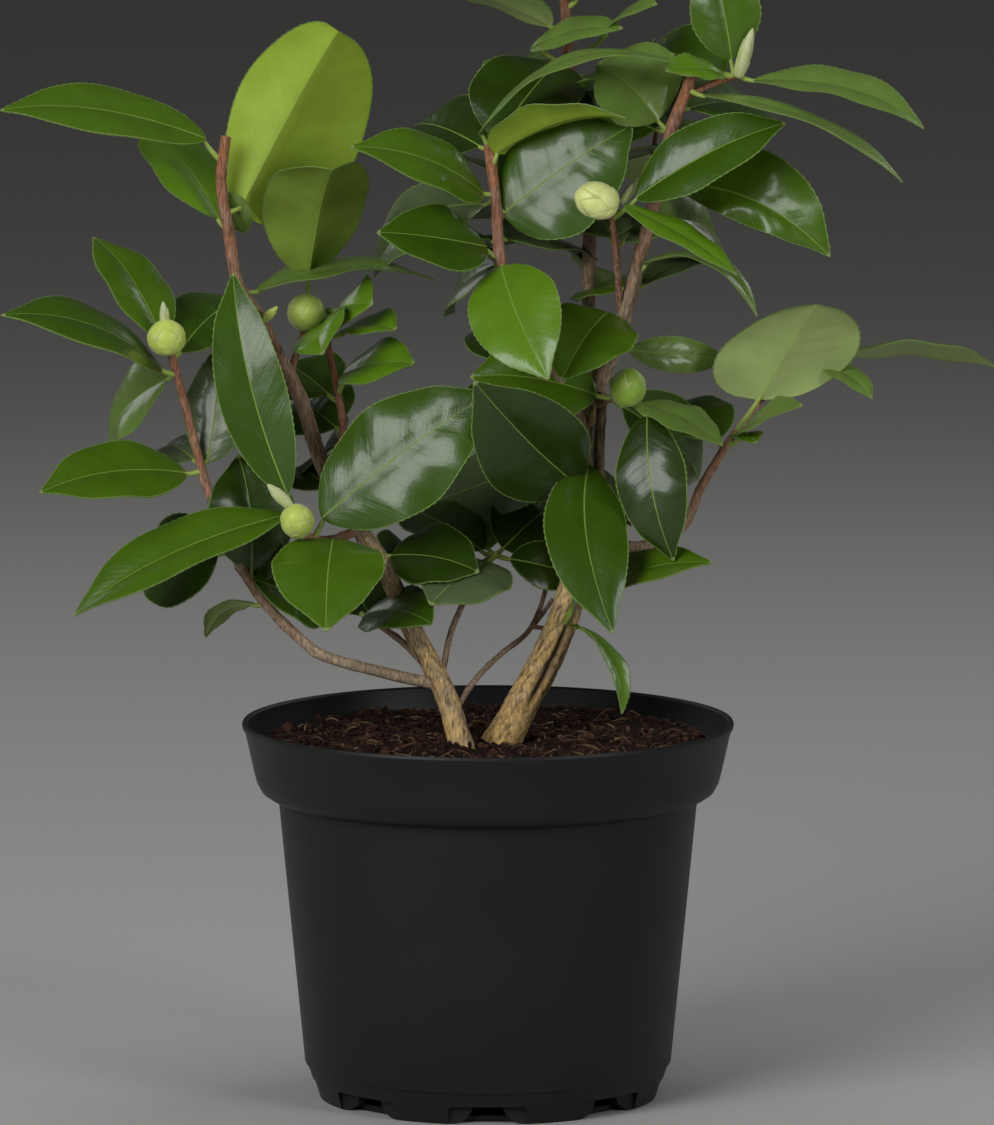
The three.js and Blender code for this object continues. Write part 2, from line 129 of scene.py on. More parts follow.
CROWN_HEART = Vector((0, 0, 0.28))
SOFT_BOXES = {                     # place, size, watts
    "box_front_left": ((-1.3, -1.7, 1.25), 1.36, 35),
    "box_front_right": ((1.5, -1.4, 0.95), 0.8, 12),
    "box_overhead": ((0.1, 0.1, 1.9), 1.1, 6),
    "box_behind_left": ((-1.2, 1.3, 0.9), 0.7, 2),
    "box_behind_right": ((1.2, 1.2, 1.1), 0.7, 3),
}
for name, (spot, size, watts) in SOFT_BOXES.items():
    aim = (CROWN_HEART - Vector(spot)).to_track_quat("-Z", "Y").to_euler()
    bpy.ops.object.light_add(type="AREA", location=spot, rotation=aim)
    soft_box = bpy.context.object
    soft_box.name = name
    soft_box.data.shape = "DISK"
    soft_box.data.size = size
    soft_box.data.energy = watts
    soft_box.visible_glossy = name != "box_overhead"     # or it veils the leaves

CAMERA_PLACE = Vector((0.0035, -3.5, 0.675))
CAMERA_PITCH = math.radians(82.394)
LENS = 293.23                     # mm, on a sensor 36 mm wide
bpy.ops.object.camera_add(location=CAMERA_PLACE, rotation=(CAMERA_PITCH, 0, 0))
camera = bpy.context.object
camera.data.lens = LENS
camera.data.sensor_width = 36
bpy.context.scene.camera = camera

# ---------------------------------------------------------------- pot
# A 3 litre nursery pot in black polypropylene, injection moulded in one shot: a thin wall, a
# deep collar that stiffens the rim, and eight arched notches round the foot that let it drain.

POT_SIDES = 160
# Outer and then inner wall, each as (radius, height above the underside).
POT_RINGS = [(radius * MM, height * MM) for radius, height in [
    (65.6, 0), (66.3, 0.8), (69.9, 12.4), (70.7, 12.9), (71.0, 13.6), (76.2, 67),
    (81.0, 116.6), (84.6, 117.6), (87.6, 119.6), (89.3, 122.8), (90.4, 127), (93.8, 142.4),
    (94.7, 143.6), (95.0, 145.0), (94.6, 146), (93.4, 146), (92.7, 145.3), (92.2, 143),
    (88.0, 124), (84.8, 120), (79.0, 118.4), (68.6, 14), (64.2, 2.4)]]


def select_only(*pieces):
    """Selects these pieces and nothing else, and makes the last one active."""
    bpy.ops.object.select_all(action="DESELECT")
    for piece in pieces:
        piece.select_set(True)
        bpy.context.view_layer.objects.active = piece


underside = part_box("pot")[0].z
select_only()
bpy.ops.mesh.primitive_circle_add(vertices=POT_SIDES, radius=POT_RINGS[0][0], fill_type="NGON",
                                  location=(0, 0, underside))
pot = bpy.context.object
pot.name = "nursery_pot"
bpy.ops.object.mode_set(mode="EDIT")
for (radius, height), (wider, higher) in zip(POT_RINGS, POT_RINGS[1:]):
    bpy.ops.mesh.extrude_region_move(TRANSFORM_OT_translate={"value": (0, 0, higher - height)})
    bpy.ops.transform.resize(value=(wider / radius, wider / radius, 1))
bpy.ops.mesh.select_all(action="SELECT")
bpy.ops.mesh.remove_doubles(threshold=0.00001)
bpy.ops.mesh.normals_make_consistent(inside=False)
bpy.ops.object.mode_set(mode="OBJECT")

NOTCH_COUNT = 8
NOTCH_WIDTH = 30 * MM
NOTCH_HEIGHT = 7.4 * MM
NOTCH_DEPTH = 15 * MM
NOTCH_MIDDLE = 66.5 * MM          # from the pot's axis
NOTCH_ROUNDING = 1.2 * MM
WEB_REACH = 9.3 * MM
WEB_THICK = 5 * MM
WEB_MIDDLE = 61.4 * MM


def turned_copies(pattern, count):
    """Copies of a piece turned about the pot's axis, each with its own mesh, joined to it."""
    copies = []
    for i in range(1, count):
        copy = pattern.copy()
        copy.data = pattern.data.copy()
        bpy.context.collection.objects.link(copy)
        copy.rotation_euler.z = math.tau * i / count
        copies.append(copy)
    select_only(*copies, pattern)
    bpy.ops.object.join()
    return bpy.context.object


def settle(piece):
    """Moves a piece's place, turn and scale into its mesh."""
    select_only(piece)
    bpy.ops.object.transform_apply(location=True, rotation=True, scale=True)


select_only()
bpy.ops.mesh.primitive_cube_add(size=1, location=(0, -NOTCH_MIDDLE, 0),
                                scale=(NOTCH_WIDTH, NOTCH_DEPTH, 2 * NOTCH_HEIGHT))
cutter = bpy.context.object
settle(cutter)
bpy.ops.object.mode_set(mode="EDIT")
bpy.ops.mesh.select_all(action="SELECT")
bpy.ops.mesh.bevel(offset=NOTCH_ROUNDING, segments=3, affect="EDGES")
bpy.ops.object.mode_set(mode="OBJECT")
cutter = turned_copies(cutter, NOTCH_COUNT)
select_only(pot)
carve = pot.modifiers.new("notches", "BOOLEAN")
carve.operation = "DIFFERENCE"
carve.object = cutter
bpy.ops.object.modifier_apply(modifier=carve.name)
bpy.data.objects.remove(cutter)

# Two rounded webs brace each notch at its upper corners.
webs = []
for hand in (-1, 1):
    select_only()
    bpy.ops.mesh.primitive_cylinder_add(
        vertices=40, radius=1, depth=WEB_THICK, rotation=(math.pi / 2, 0, 0),
        location=(hand * NOTCH_WIDTH / 2, -WEB_MIDDLE, NOTCH_HEIGHT),
        scale=(WEB_REACH, NOTCH_HEIGHT, 1))
    web = bpy.context.object
    settle(web)
    bpy.ops.object.mode_set(mode="EDIT")
    bpy.ops.mesh.select_all(action="SELECT")
    bpy.ops.mesh.bisect(plane_co=(hand * (NOTCH_WIDTH / 2 + MM), 0, 0), plane_no=(hand, 0, 0),
                        clear_outer=True, use_fill=True)
    bpy.ops.mesh.select_all(action="SELECT")
    bpy.ops.mesh.bisect(plane_co=(0, 0, NOTCH_HEIGHT + MM), plane_no=(0, 0, 1),
                        clear_outer=True, use_fill=True)
    bpy.ops.object.mode_set(mode="OBJECT")
    webs.append(turned_copies(web, NOTCH_COUNT))
select_only(*webs, pot)
bpy.ops.object.join()
bpy.ops.object.shade_smooth_by_angle(angle=math.radians(32))

# Moulded black polypropylene, filled with recycled carbon black: a soft sheen from a lightly
# blasted mould, a fine pebble, and faint paler scuffs where pots have rubbed in the stack.
polypropylene, tree, surface, place = new_material("moulded_polypropylene")
PEBBLE = 0.5 * MM
SCUFF_STRETCH = (90, 90, 900)     # thin level scratches
pebble = add_node(tree, "TexNoise", {"Scale": 1 / PEBBLE, "Detail": 2, "Vector": place})
clouding = add_node(tree, "TexNoise", {"Scale": 26, "Detail": 4, "Vector": place})
stretch = add_node(tree, "Mapping", {"Scale": SCUFF_STRETCH, "Vector": place})
rubbing = add_node(tree, "TexNoise",
                   {"Scale": 1, "Detail": 5, "Roughness": 0.7, "Vector": stretch})
scuffs = add_node(tree, "MapRange",
                  {"Value": rubbing, "From Min": 0.62, "From Max": 0.8, "To Max": 0.35})
black = add_node(tree, "Mix", {0: clouding, 6: linear("#191919"), 7: linear("#202020")}, 2,
                 data_type="RGBA")
worn = add_node(tree, "Mix", {0: scuffs, 6: black, 7: linear("#3b3b3a")}, 2, data_type="RGBA")
sheen = add_node(tree, "MapRange", {"Value": clouding, "To Min": 0.4, "To Max": 0.54})
bump = add_node(tree, "Bump", {"Strength": 0.25, "Distance": 0.05 * MM, "Height": pebble})
set_sockets(surface, {"Base Color": worn, "Roughness": sheen, "IOR": 1.49,
                      "Specular IOR Level": 0.25, "Normal": bump})
pot.data.materials.clear()
pot.data.materials.append(polypropylene)
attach(pot, "root")
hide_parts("pot")

# ---------------------------------------------------------------- peat
# Ericaceous compost, mostly dark milled peat with bark crumbs and pale root fibres, poured in
# and watered, so that it has drawn away from the wall and heaps a little round the stems.

soil_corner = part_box("soil")[1]
PEAT_SIDES = 96
PEAT_TAPER = 0.93
PEAT_RINGS = 26
PEAT_RADIUS = soil_corner.x - 2.6 * MM
PEAT_DEPTH = 12 * MM             # of the top that shows
PEAT_DROP = 6 * MM              # at the wall
PEAT_SHOULDER = 9 * MM          # how far in from the wall the surface is level
PEAT_LEVEL = soil_corner.z - 1.2 * MM


def peat_level(radius):
    """The height of the compost at a distance from the pot's axis."""
    near_wall = max(0, 1 - (PEAT_RADIUS - radius) / PEAT_SHOULDER)
    return PEAT_LEVEL - PEAT_DROP * near_wall ** 2


def edit_faces(piece, wanted):
    """Opens a piece in edit mode with only its wanted faces selected."""
    bpy.ops.object.mode_set(mode="EDIT")
    bpy.ops.mesh.select_all(action="DESELECT")
    bpy.ops.object.mode_set(mode="OBJECT")
    for face in piece.data.polygons:
        face.select = wanted(face)
    bpy.ops.object.mode_set(mode="EDIT")


def set_tints(ramp, tints):
    """Gives a colour ramp its tints, each at its own position."""
    while len(ramp.elements) < len(tints):
        ramp.elements.new(0.5)
    for element, (position, tint) in zip(ramp.elements, tints):
        element.position = position
        element.color = linear(tint)


select_only()
bpy.ops.mesh.primitive_cylinder_add(
    vertices=PEAT_SIDES, radius=PEAT_RADIUS, depth=PEAT_DEPTH,
    location=(0, 0, peat_level(PEAT_RADIUS) - PEAT_DEPTH / 2))
peat = bpy.context.object
peat.name = "compost"
settle(peat)
edit_faces(peat, lambda face: face.normal.z < -0.9)
bpy.ops.transform.resize(value=(PEAT_TAPER, PEAT_TAPER, 1))
edit_faces(peat, lambda face: face.normal.z > 0.9)
inset = PEAT_RADIUS / (PEAT_RINGS + 1)
for ring in range(PEAT_RINGS):
    rise = peat_level(PEAT_RADIUS - inset * (ring + 1)) - peat_level(PEAT_RADIUS - inset * ring)
    bpy.ops.mesh.inset(thickness=inset)
    bpy.ops.transform.translate(value=(0, 0, rise))
bpy.ops.object.mode_set(mode="OBJECT")
surface_points = peat.vertex_groups.new(name="surface")
surface_points.add([v.index for v in peat.data.vertices
                    if math.hypot(v.co.x, v.co.y) < PEAT_RADIUS - MM], 1, "REPLACE")
finer = peat.modifiers.new("finer", "SUBSURF")
finer.subdivision_type = "SIMPLE"
finer.levels = 2
finer.render_levels = 2
# The heaps that lie on it, with how far across and how high they are.
CLODS = {"clods": (16 * MM, 7 * MM), "crumbs": (4.5 * MM, 3.2 * MM), "grit": (1.8 * MM, 1.5 * MM)}
for name, (across, height) in CLODS.items():
    cloud = bpy.data.textures.new(name, "CLOUDS")
    cloud.noise_scale = across
    lumps = peat.modifiers.new(name, "DISPLACE")
    lumps.texture = cloud
    lumps.texture_coords = "LOCAL"
    lumps.direction = "Z"
    lumps.strength = height
    lumps.mid_level = 0.55
    lumps.vertex_group = "surface"
for name in ["finer", *CLODS]:
    bpy.ops.object.modifier_apply(modifier=name)
bpy.ops.object.shade_smooth_by_angle(angle=math.radians(60))

# Milled peat is near black when wet and red-brown where it dries; it has no gloss at all.
milled_peat, tree, surface, place = new_material("milled_peat")
clumps = add_node(tree, "TexNoise", {"Scale": 1 / (3 * MM), "Detail": 6, "Vector": place})
patches = add_node(tree, "TexNoise", {"Scale": 1 / (22 * MM), "Detail": 2, "Vector": place})
wet = add_node(tree, "ValToRGB", {"Fac": clumps})
set_tints(wet.node.color_ramp, [(0.3, "#100906"), (0.75, "#301d13")])
dry = add_node(tree, "Mix", {0: patches, 6: wet, 7: linear("#a8988c")}, 2, data_type="RGBA",
               blend_type="MULTIPLY")
bump = add_node(tree, "Bump", {"Strength": 0.8, "Distance": 0.8 * MM, "Height": clumps})
set_sockets(surface, {"Base Color": dry, "Roughness": 0.95, "Specular IOR Level": 0.2,
                      "Normal": bump})
peat.data.materials.append(milled_peat)


class Pile:
    """Many small things gathered as one mesh: their points, faces, finishes and marks."""

    def __init__(self, mark_names=("age", "crevice_shade")):
        self.mark_names = mark_names
        self.points = []
        self.corners = []
        self.sizes = []
        self.finishes = []
        self.marks = []
        self.count = 0

    def add(self, points, faces_and_finishes, marks=0):
        """Points (n, 3); pairs of faces (m, corners) and a finish for all or for each."""
        points = np.reshape(points, (-1, 3))
        for faces, finish in faces_and_finishes:
            self.corners.append((faces + self.count).ravel())
            self.sizes.append(np.full(len(faces), faces.shape[1]))
            self.finishes.append(np.broadcast_to(finish, len(faces)))
        self.points.append(points)
        self.marks.append(np.broadcast_to(marks, (len(points), 2)))
        self.count += len(points)

    def add_tube(self, path, radii, sides, finish, marks=0):
        """A round closed skin over a path, in one finish."""
        points, walls, caps = tube(path, radii, sides)
        self.add(points, [(walls, finish), (caps, finish)], marks)

    def make(self, name, materials, smooth_angle=60):
        """The mesh object, shaded smooth, with its finishes in the order given."""
        mesh = bpy.data.meshes.new(name)
        corners = np.concatenate(self.corners)
        sizes = np.concatenate(self.sizes)
        mesh.vertices.add(self.count)
        mesh.vertices.foreach_set("co", np.concatenate(self.points).ravel())
        mesh.loops.add(len(corners))
        mesh.loops.foreach_set("vertex_index", corners)
        mesh.polygons.add(len(sizes))
        mesh.polygons.foreach_set("loop_start", np.concatenate([[0], np.cumsum(sizes)[:-1]]))
        mesh.polygons.foreach_set("material_index", np.concatenate(self.finishes))
        mesh.update(calc_edges=True)
        mesh.validate()
        marks = np.concatenate(self.marks)
        for i, mark in enumerate(self.mark_names):
            layer = mesh.attributes.new(mark, "FLOAT", "POINT")
            layer.data.foreach_set("value", marks[:, i].astype(np.float32))
        for material in materials:
            mesh.materials.append(material)
        piece = bpy.data.objects.new(name, mesh)
        bpy.context.collection.objects.link(piece)
        select_only(piece)
        bpy.ops.object.shade_smooth_by_angle(angle=math.radians(smooth_angle))
        return piece


def unit(vectors):
    """Vectors of length one, along the last axis."""
    vectors = np.asarray(vectors, float)
    return vectors / np.maximum(np.linalg.norm(vectors, axis=-1, keepdims=True), 1e-12)


def frames_along(path):
    """Two directions across a path at each of its points, carried along it without twist."""
    tangents = unit(np.gradient(path, axis=0))
    across = np.zeros_like(path)
    start = (0, 0, 1.0) if abs(tangents[0][2]) < 0.9 else (1.0, 0, 0)
    last = unit(np.cross(tangents[0], start))
    for i, tangent in enumerate(tangents):
        last = unit(last - tangent * np.dot(last, tangent))
        across[i] = last
    return across, np.cross(tangents, across)


def tube(path, radii, sides):
    """A closed round skin over a path: its points, and its side and end faces."""
    across, other = frames_along(path)
    turns = (np.arange(sides) * math.tau / sides)[None, :, None]
    ring = across[:, None] * np.cos(turns) + other[:, None] * np.sin(turns)
    skin = path[:, None] + ring * np.reshape(radii, (len(path), -1, 1))
    points = np.concatenate([skin.reshape(-1, 3), path[:1], path[-1:]])
    here = np.arange(sides)
    ahead = (here + 1) % sides
    row = np.arange(len(path) - 1)[:, None] * sides
    walls = np.stack([row + here, row + ahead, row + sides + ahead, row + sides + here], -1)
    foot = np.full(sides, len(points) - 2)
    top = (len(path) - 1) * sides
    caps = np.concatenate([np.stack([foot, ahead, here], -1),
                           np.stack([foot + 1, top + here, top + ahead], -1)])
    return points, walls.reshape(-1, 4), caps


draw = random.Random(11)
ground = BVHTree.FromObject(peat, bpy.context.evaluated_depsgraph_get())


def spot_on_peat():
    """A random place on the compost, evenly spread, and its slope."""
    radius = (PEAT_RADIUS - 3 * MM) * math.sqrt(draw.random())
    turn = draw.random() * math.tau
    above = Vector((radius * math.cos(turn), radius * math.sin(turn), 0.2))
    spot, slope, _, _ = ground.ray_cast(above, Vector((0, 0, -1)))
    return np.array(spot), np.array(slope)


CRUMBS = 2600
FIBRES = 620
select_only()
bpy.ops.mesh.primitive_ico_sphere_add(subdivisions=1, radius=1)
stone = bpy.context.object
CRUMB_POINTS = np.array([v.co[:] for v in stone.data.vertices])
CRUMB_FACES = np.array([f.vertices[:] for f in stone.data.polygons])
bpy.data.objects.remove(stone)
crumb_pile = Pile()
for _ in range(CRUMBS):
    spot, slope = spot_on_peat()
    size = draw.uniform(0.5, 1.5) * MM * (1.6 if draw.random() < 0.1 else 1)
    squeeze = np.array([draw.uniform(0.5, 1.3) for _ in range(3)])
    shaped = CRUMB_POINTS * squeeze * size
    shaped = shaped * np.array([[draw.uniform(0.75, 1.2)] for _ in shaped])
    turn = draw.random() * math.tau
    spin = np.array([[math.cos(turn), -math.sin(turn), 0],
                     [math.sin(turn), math.cos(turn), 0],
                     [0, 0, 1]])
    finish = draw.choices((0, 1, 2), (70, 22, 8))[0]
    crumb_pile.add(shaped @ spin.T + spot + slope * size * 0.3, [(CRUMB_FACES, finish)])
for _ in range(FIBRES):
    spot, slope = spot_on_peat()
    length = draw.uniform(3, 11) * MM
    turn = draw.random() * math.tau
    way = np.array([math.cos(turn), math.sin(turn), draw.uniform(-0.1, 0.55)]) * length
    bow = [draw.uniform(-1, 1), draw.uniform(-1, 1), draw.uniform(0, 0.8)]
    bow = np.array(bow) * length * 0.25
    along = np.linspace(-0.5, 0.5, 5)[:, None]
    path = spot + slope * 0.4 * MM + way * along + bow * (0.25 - along ** 2) * 4
    thick = draw.uniform(0.14, 0.38) * MM
    finish = draw.choices((1, 2, 3), (45, 35, 20))[0]
    crumb_pile.add_tube(path, np.array([0.5, 1, 1, 0.9, 0.3]) * thick, 4, finish)

# Loose crumbs and fibres of the same peat, some of them sun-bleached.
CRUMB_TINTS = [("peat_crumb", "#170d09", "#2e1b12"), ("bark_crumb", "#2f1d14", "#4b2f20"),
               ("dry_fibre", "#4b3528", "#694c39"), ("pale_fibre", "#6b573c", "#8f7752")]
crumb_materials = [mottled_material(name, linear(dark), linear(light), 2 * MM, 3,
                                    {"Roughness": 0.9, "Specular IOR Level": 0.25})
                   for name, dark, light in CRUMB_TINTS]
crumbs = crumb_pile.make("compost_crumbs", crumb_materials, 40)
for piece in (peat, crumbs):
    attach(piece, "root")
    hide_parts("soil")

# ---------------------------------------------------------------- stems and boughs
# Two stems rise from one rootstock and fork into boughs. Old wood is tan and fissured, the
# boughs are grey-brown, and last year's shoots are still orange; two leaders were pruned flat.

LIMBS = {       # foot and tip diameter, bark age at foot and tip, course (right, back, up)
    "trunk_right": (13.4, 9.5, 1.0, 0.62, [
        (4, -9, 137), (14, -7, 155), (24, -4, 174), (29, -1, 186), (34, 2, 201), (39, 6, 227),
        (40, 8, 254), (42, 8, 276)]),
    "trunk_left": (8.8, 6.8, 0.9, 0.7, [
        (-9, -30, 137), (-17, -26, 162), (-30, -18, 186), (-39, -12, 206), (-50, -6, 222)]),
    "bough_left_low": (4.6, 3, 0.62, 0.08, [
        (-20, -25, 164), (-39, -24, 168), (-64, -22, 175), (-71, -21, 180), (-85, -20, 194),
        (-96, -20, 211), (-106, -21, 235), (-110, -22, 249), (-117, -28, 278), (-121, -34, 294)]),
    "bough_left": (6.5, 4.0, 0.6, 0.06, [
        (-50, -6, 222), (-63, 0, 244), (-72, 6, 270), (-82, 4, 290), (-89, 0, 305),
        (-95, -3, 313), (-99, -6, 335), (-102, -8, 356), (-100, -9, 373)]),
    "bough_centre": (5.4, 3.8, 0.5, 0.12, [
        (40, 8, 250), (28, -4, 279), (12, -10, 303), (5, -12, 325), (3, -12, 349), (0, -10, 371)]),
    "bough_grey": (5.4, 4.2, 0.62, 0.1, [
        (42, 8, 274), (39, 16, 296), (39, 20, 319), (39, 22, 337), (36, 24, 365), (32, 24, 392),
        (30, 22, 415), (30, 20, 438)]),
    "bough_right": (6.5, 4.2, 0.62, 0.04, [
        (42, 8, 274), (48, 6, 289), (55, 2, 313), (60, -2, 333), (66, -6, 356), (70, -8, 375),
        (79, -12, 399)]),
    "bough_right_low": (4.6, 2.2, 0.5, 0.1, [
        (36, 3, 208), (51, 15, 211), (65, 18, 213), (76, 18, 220), (82, 16, 234), (90, 14, 248),
        (95, 12, 256), (112, 22, 275), (126, 28, 286)]),
    "twig_left_bud": (3.4, 2.4, 0.3, 0.1, [
        (-72, 6, 270), (-76, 12, 277), (-73, 14, 290), (-70, 14, 298)]),
    "twig_red": (3.4, 2.4, 0.2, 0.0, [
        (-63, 0, 244), (-56, 8, 256), (-58, 14, 272), (-62, 16, 292), (-62, 17, 304)]),
    "twig_front_bud": (4, 2.6, 0.4, 0.15, [(-49, -6, 221), (-62, -20, 219), (-73, -30, 223)]),
    "twig_low_left": (2.8, 2.4, 0.55, 0.45, [(-24, -22, 171), (-34, -10, 179), (-49, 0, 188)]),
    "twig_low_middle": (2.6, 2.0, 0.55, 0.4, [
        (-18, -26, 165), (-14, -14, 183), (-9, -6, 194), (-4, -1, 206), (4, 2, 211)]),
    "twig_grey_low": (2.4, 1.8, 0.55, 0.5, [
        (-14, -28, 152), (-5, -15, 164), (5, 0, 172), (16, 10, 180), (22, 14, 194), (23, 14, 206)]),
    "twig_centre_bud": (2.8, 2.4, 0.3, 0.08, [
        (51, 4, 303), (50, -2, 317), (49, -10, 331), (47, -20, 345)]),
    "twig_right_bud": (3.6, 2.6, 0.4, 0.2, [(41, 8, 268), (48, -4, 272), (53, -12, 274)]),
    "twig_top": (3, 2.2, 0.15, 0.0, [(75, -10, 388), (86, -6, 393), (96, -2, 396)]),
    "stub_grey": (2.0, 1.6, 0.55, 0.5, [(17, 11, 181), (21, 11, 186), (25, 10, 192)]),
    "stub_link": (1.8, 1.5, 0.55, 0.5, [(17, 11, 181), (24, 9, 181), (29, 5, 184)]),
}
PRUNED = {"bough_left", "bough_right", "stub_grey"}
FLARE = 0.14                     # how much wider a trunk is at the soil
FLARE_REACH = 9 * MM
COURSE_STEP = MM


def read_between(places, marks, at):
    """The places of a course, each known at its own mark, read at other marks."""
    return np.stack([np.interp(at, marks, column) for column in places.T], axis=-1)


def smooth_course(places):
    """Points a short step apart along a centripetal curve through the places, in metres."""
    places = np.asarray(places, float) * MM
    before = 2 * places[0] - places[1]
    after = 2 * places[-1] - places[-2]
    knots = np.vstack([before, places, after])
    dense = []
    for a, b, c, d in zip(knots, knots[1:], knots[2:], knots[3:]):
        ab, bc, cd = (math.sqrt(np.linalg.norm(q - p)) for p, q in ((a, b), (b, c), (c, d)))
        leave = ((b - a) / ab - (c - a) / (ab + bc) + (c - b) / bc) * bc
        arrive = ((c - b) / bc - (d - b) / (bc + cd) + (d - c) / cd) * bc
        t = np.linspace(0, 1, 40, endpoint=False)[:, None]
        dense.append((2 * t ** 3 - 3 * t ** 2 + 1) * b + (t ** 3 - 2 * t ** 2 + t) * leave
                     + (3 * t ** 2 - 2 * t ** 3) * c + (t ** 3 - t ** 2) * arrive)
    dense = np.vstack([*dense, places[-1:]])
    run = np.concatenate([[0], np.cumsum(np.linalg.norm(np.diff(dense, axis=0), axis=1))])
    stops = np.linspace(0, run[-1], max(2, round(run[-1] / COURSE_STEP)) + 1)
    return read_between(dense, run, stops)


class Limb:
    """A limb's course, with its radius and bark age at any share of its length."""

    def __init__(self, foot, tip, old, young, places, trunk):
        self.course = smooth_course(places)
        self.length = (len(self.course) - 1) * COURSE_STEP
        self.ends = foot * MM / 2, tip * MM / 2
        self.ages = old, young
        self.trunk = trunk

    def at(self, share):
        last = len(self.course) - 1
        return read_between(self.course, range(last + 1), share * last)

    def radius(self, share):
        radius = self.ends[0] + (self.ends[1] - self.ends[0]) * share
        if self.trunk:
            return radius * (1 + FLARE * np.exp(-share * self.length / FLARE_REACH))
        return radius


limbs = {name: Limb(*row, trunk=name.startswith("trunk")) for name, row in LIMBS.items()}
GROOVE_SIDE = np.array((0.45, -0.88, 0.1))       # where the right stem's two halves meet
GROOVE_DEPTH = 2.3 * MM
GROOVE_WIDTH = 1.3 * MM
NODE_SPACING = 16 * MM                           # between the scars of fallen leaves
NODE_TURN = 2.4                                  # from one bud to the next, in radians
SCAR_WIDTH = 1.1 * MM
LUMP_LENGTH = 9 * MM
# Width of the grain, then height of the lumps and depth of the fissures as shares of the radius.
TRUNK_SKIN = 1.5 * MM, 0.08, 0.085
BOUGH_SKIN = 1.0 * MM, 0.05, 0.03


def bark(pile, name, ring_step, sides):
    """A limb's skin with its fissures, lumps and leaf scars, and the marks that colour it: its age
    and the painted shade in its fissures and groove.
    """
    limb = limbs[name]
    rings = max(4, round(limb.length / ring_step)) + 1
    shares = np.linspace(0, 1, rings)
    path = np.array([limb.at(share) for share in shares])
    across, other = frames_along(path)
    turns = np.arange(sides) * math.tau / sides
    base = limb.radius(shares)
    seed = sum(map(ord, name)) % 97 * 1.7
    radii = np.zeros((rings, sides))
    crevice_shade = np.zeros((rings, sides))
    grain_width, lump_height, fissure_depth = TRUNK_SKIN if limb.trunk else BOUGH_SKIN
    grain = 1 / grain_width
    for i, run in enumerate(shares * limb.length):
        groove_turn = math.atan2(GROOVE_SIDE @ other[i], GROOVE_SIDE @ across[i])
        past_node = (run + seed * MM) % NODE_SPACING
        scar = math.exp(-((past_node - NODE_SPACING / 2) / SCAR_WIDTH) ** 2)
        bud_turn = math.floor((run + seed * MM) / NODE_SPACING) * NODE_TURN
        for j, turn in enumerate(turns):
            c, s = math.cos(turn), math.sin(turn)
            skin = Vector((c * base[i] * grain + seed, s * base[i] * grain, run * grain * 0.16))
            crack = abs(noise.noise(skin))
            fissure = max(0, 1 - crack / 0.16) * (0.4 + 0.6 * abs(noise.noise(skin * 0.4)) * 2)
            lumps = noise.noise(Vector((c * 1.2, s * 1.2, run / LUMP_LENGTH + seed)))
            rough = noise.noise(skin * 2.3) * 0.05
            # A fissure cuts the skin and also darkens its colour as painted shade.
            deep = min(1, fissure)
            relief = lump_height * lumps + rough - fissure_depth * deep
            if not limb.trunk:
                relief += scar * (0.07 + 0.13 * max(0, math.cos(turn - bud_turn)) ** 2)
                deep *= 0.5
            radius = base[i] * (1 + relief)
            # The groove where the two halves meet is cut into the skin and also darkened as painted
            # shade.
            if name == "trunk_right":
                apart = (turn - groove_turn + math.pi) % math.tau - math.pi
                window = min(1, max(0, (run - 12 * MM) / (14 * MM)))
                notch = math.exp(-(apart * base[i] / GROOVE_WIDTH) ** 2) * window
                radius -= GROOVE_DEPTH * notch
                deep = max(deep, notch)
            radii[i, j] = radius
            crevice_shade[i, j] = deep
    if name not in PRUNED:
        rounding = np.sqrt(np.clip((1 - shares) * limb.length / base[-1], 0.04, 1))
        radii *= rounding[:, None]
    points, walls, caps = tube(path, radii, sides)
    ages = limb.ages[0] + (limb.ages[1] - limb.ages[0]) * shares
    marks = np.stack([np.repeat(ages, sides), crevice_shade.ravel()], axis=1)
    # The end caps get painted shade as well, more at the foot.
    ends = np.array([[ages[0], 0.4], [ages[-1], 0.1]])
    cap_finish = np.repeat([0, 1 if name in PRUNED else 0], sides)
    pile.add(points, [(walls, 0), (caps, cap_finish)], np.vstack([marks, ends]))


# Bark of a camellia: smooth cork that splits along the stem as it ages. Tan on old wood,
# grey-brown on the boughs, and orange with pale streaks where the green skin is just lost.
stem_bark, tree, surface, place = new_material("stem_bark")
BARK_TINTS = [(0.0, "#9c6544"), (0.22, "#98705a"), (0.5, "#9c8872"), (0.72, "#ab967a"),
              (1.0, "#cdab6c")]
age = add_node(tree, "Attribute", {}, "Fac", attribute_name="age")
crevice_shade = add_node(tree, "Attribute", {}, "Fac", attribute_name="crevice_shade")
mottle = add_node(tree, "TexNoise", {"Scale": 1 / (7 * MM), "Detail": 4, "Vector": place})
along_stem = add_node(tree, "Mapping", {"Scale": (1, 1, 0.16), "Vector": place})
fleck = add_node(tree, "TexNoise", {"Scale": 1 / (0.8 * MM), "Detail": 4, "Vector": along_stem})
older = add_node(tree, "MapRange", {"Value": mottle, "From Min": 0.3, "From Max": 0.7,
                                    "To Min": -0.14, "To Max": 0.14})
ageing = add_node(tree, "Math", {0: age, 1: older}, operation="ADD")
cork = add_node(tree, "ValToRGB", {"Fac": ageing})
set_tints(cork.node.color_ramp, BARK_TINTS)
streaks = add_node(tree, "MapRange", {"Value": fleck, "From Min": 0.35, "From Max": 0.7,
                                      "To Min": 0.55, "To Max": 1.45})
lit_cork = add_node(tree, "Mix", {0: 1.0, 6: cork, 7: streaks}, 2, data_type="RGBA",
                    blend_type="MULTIPLY")
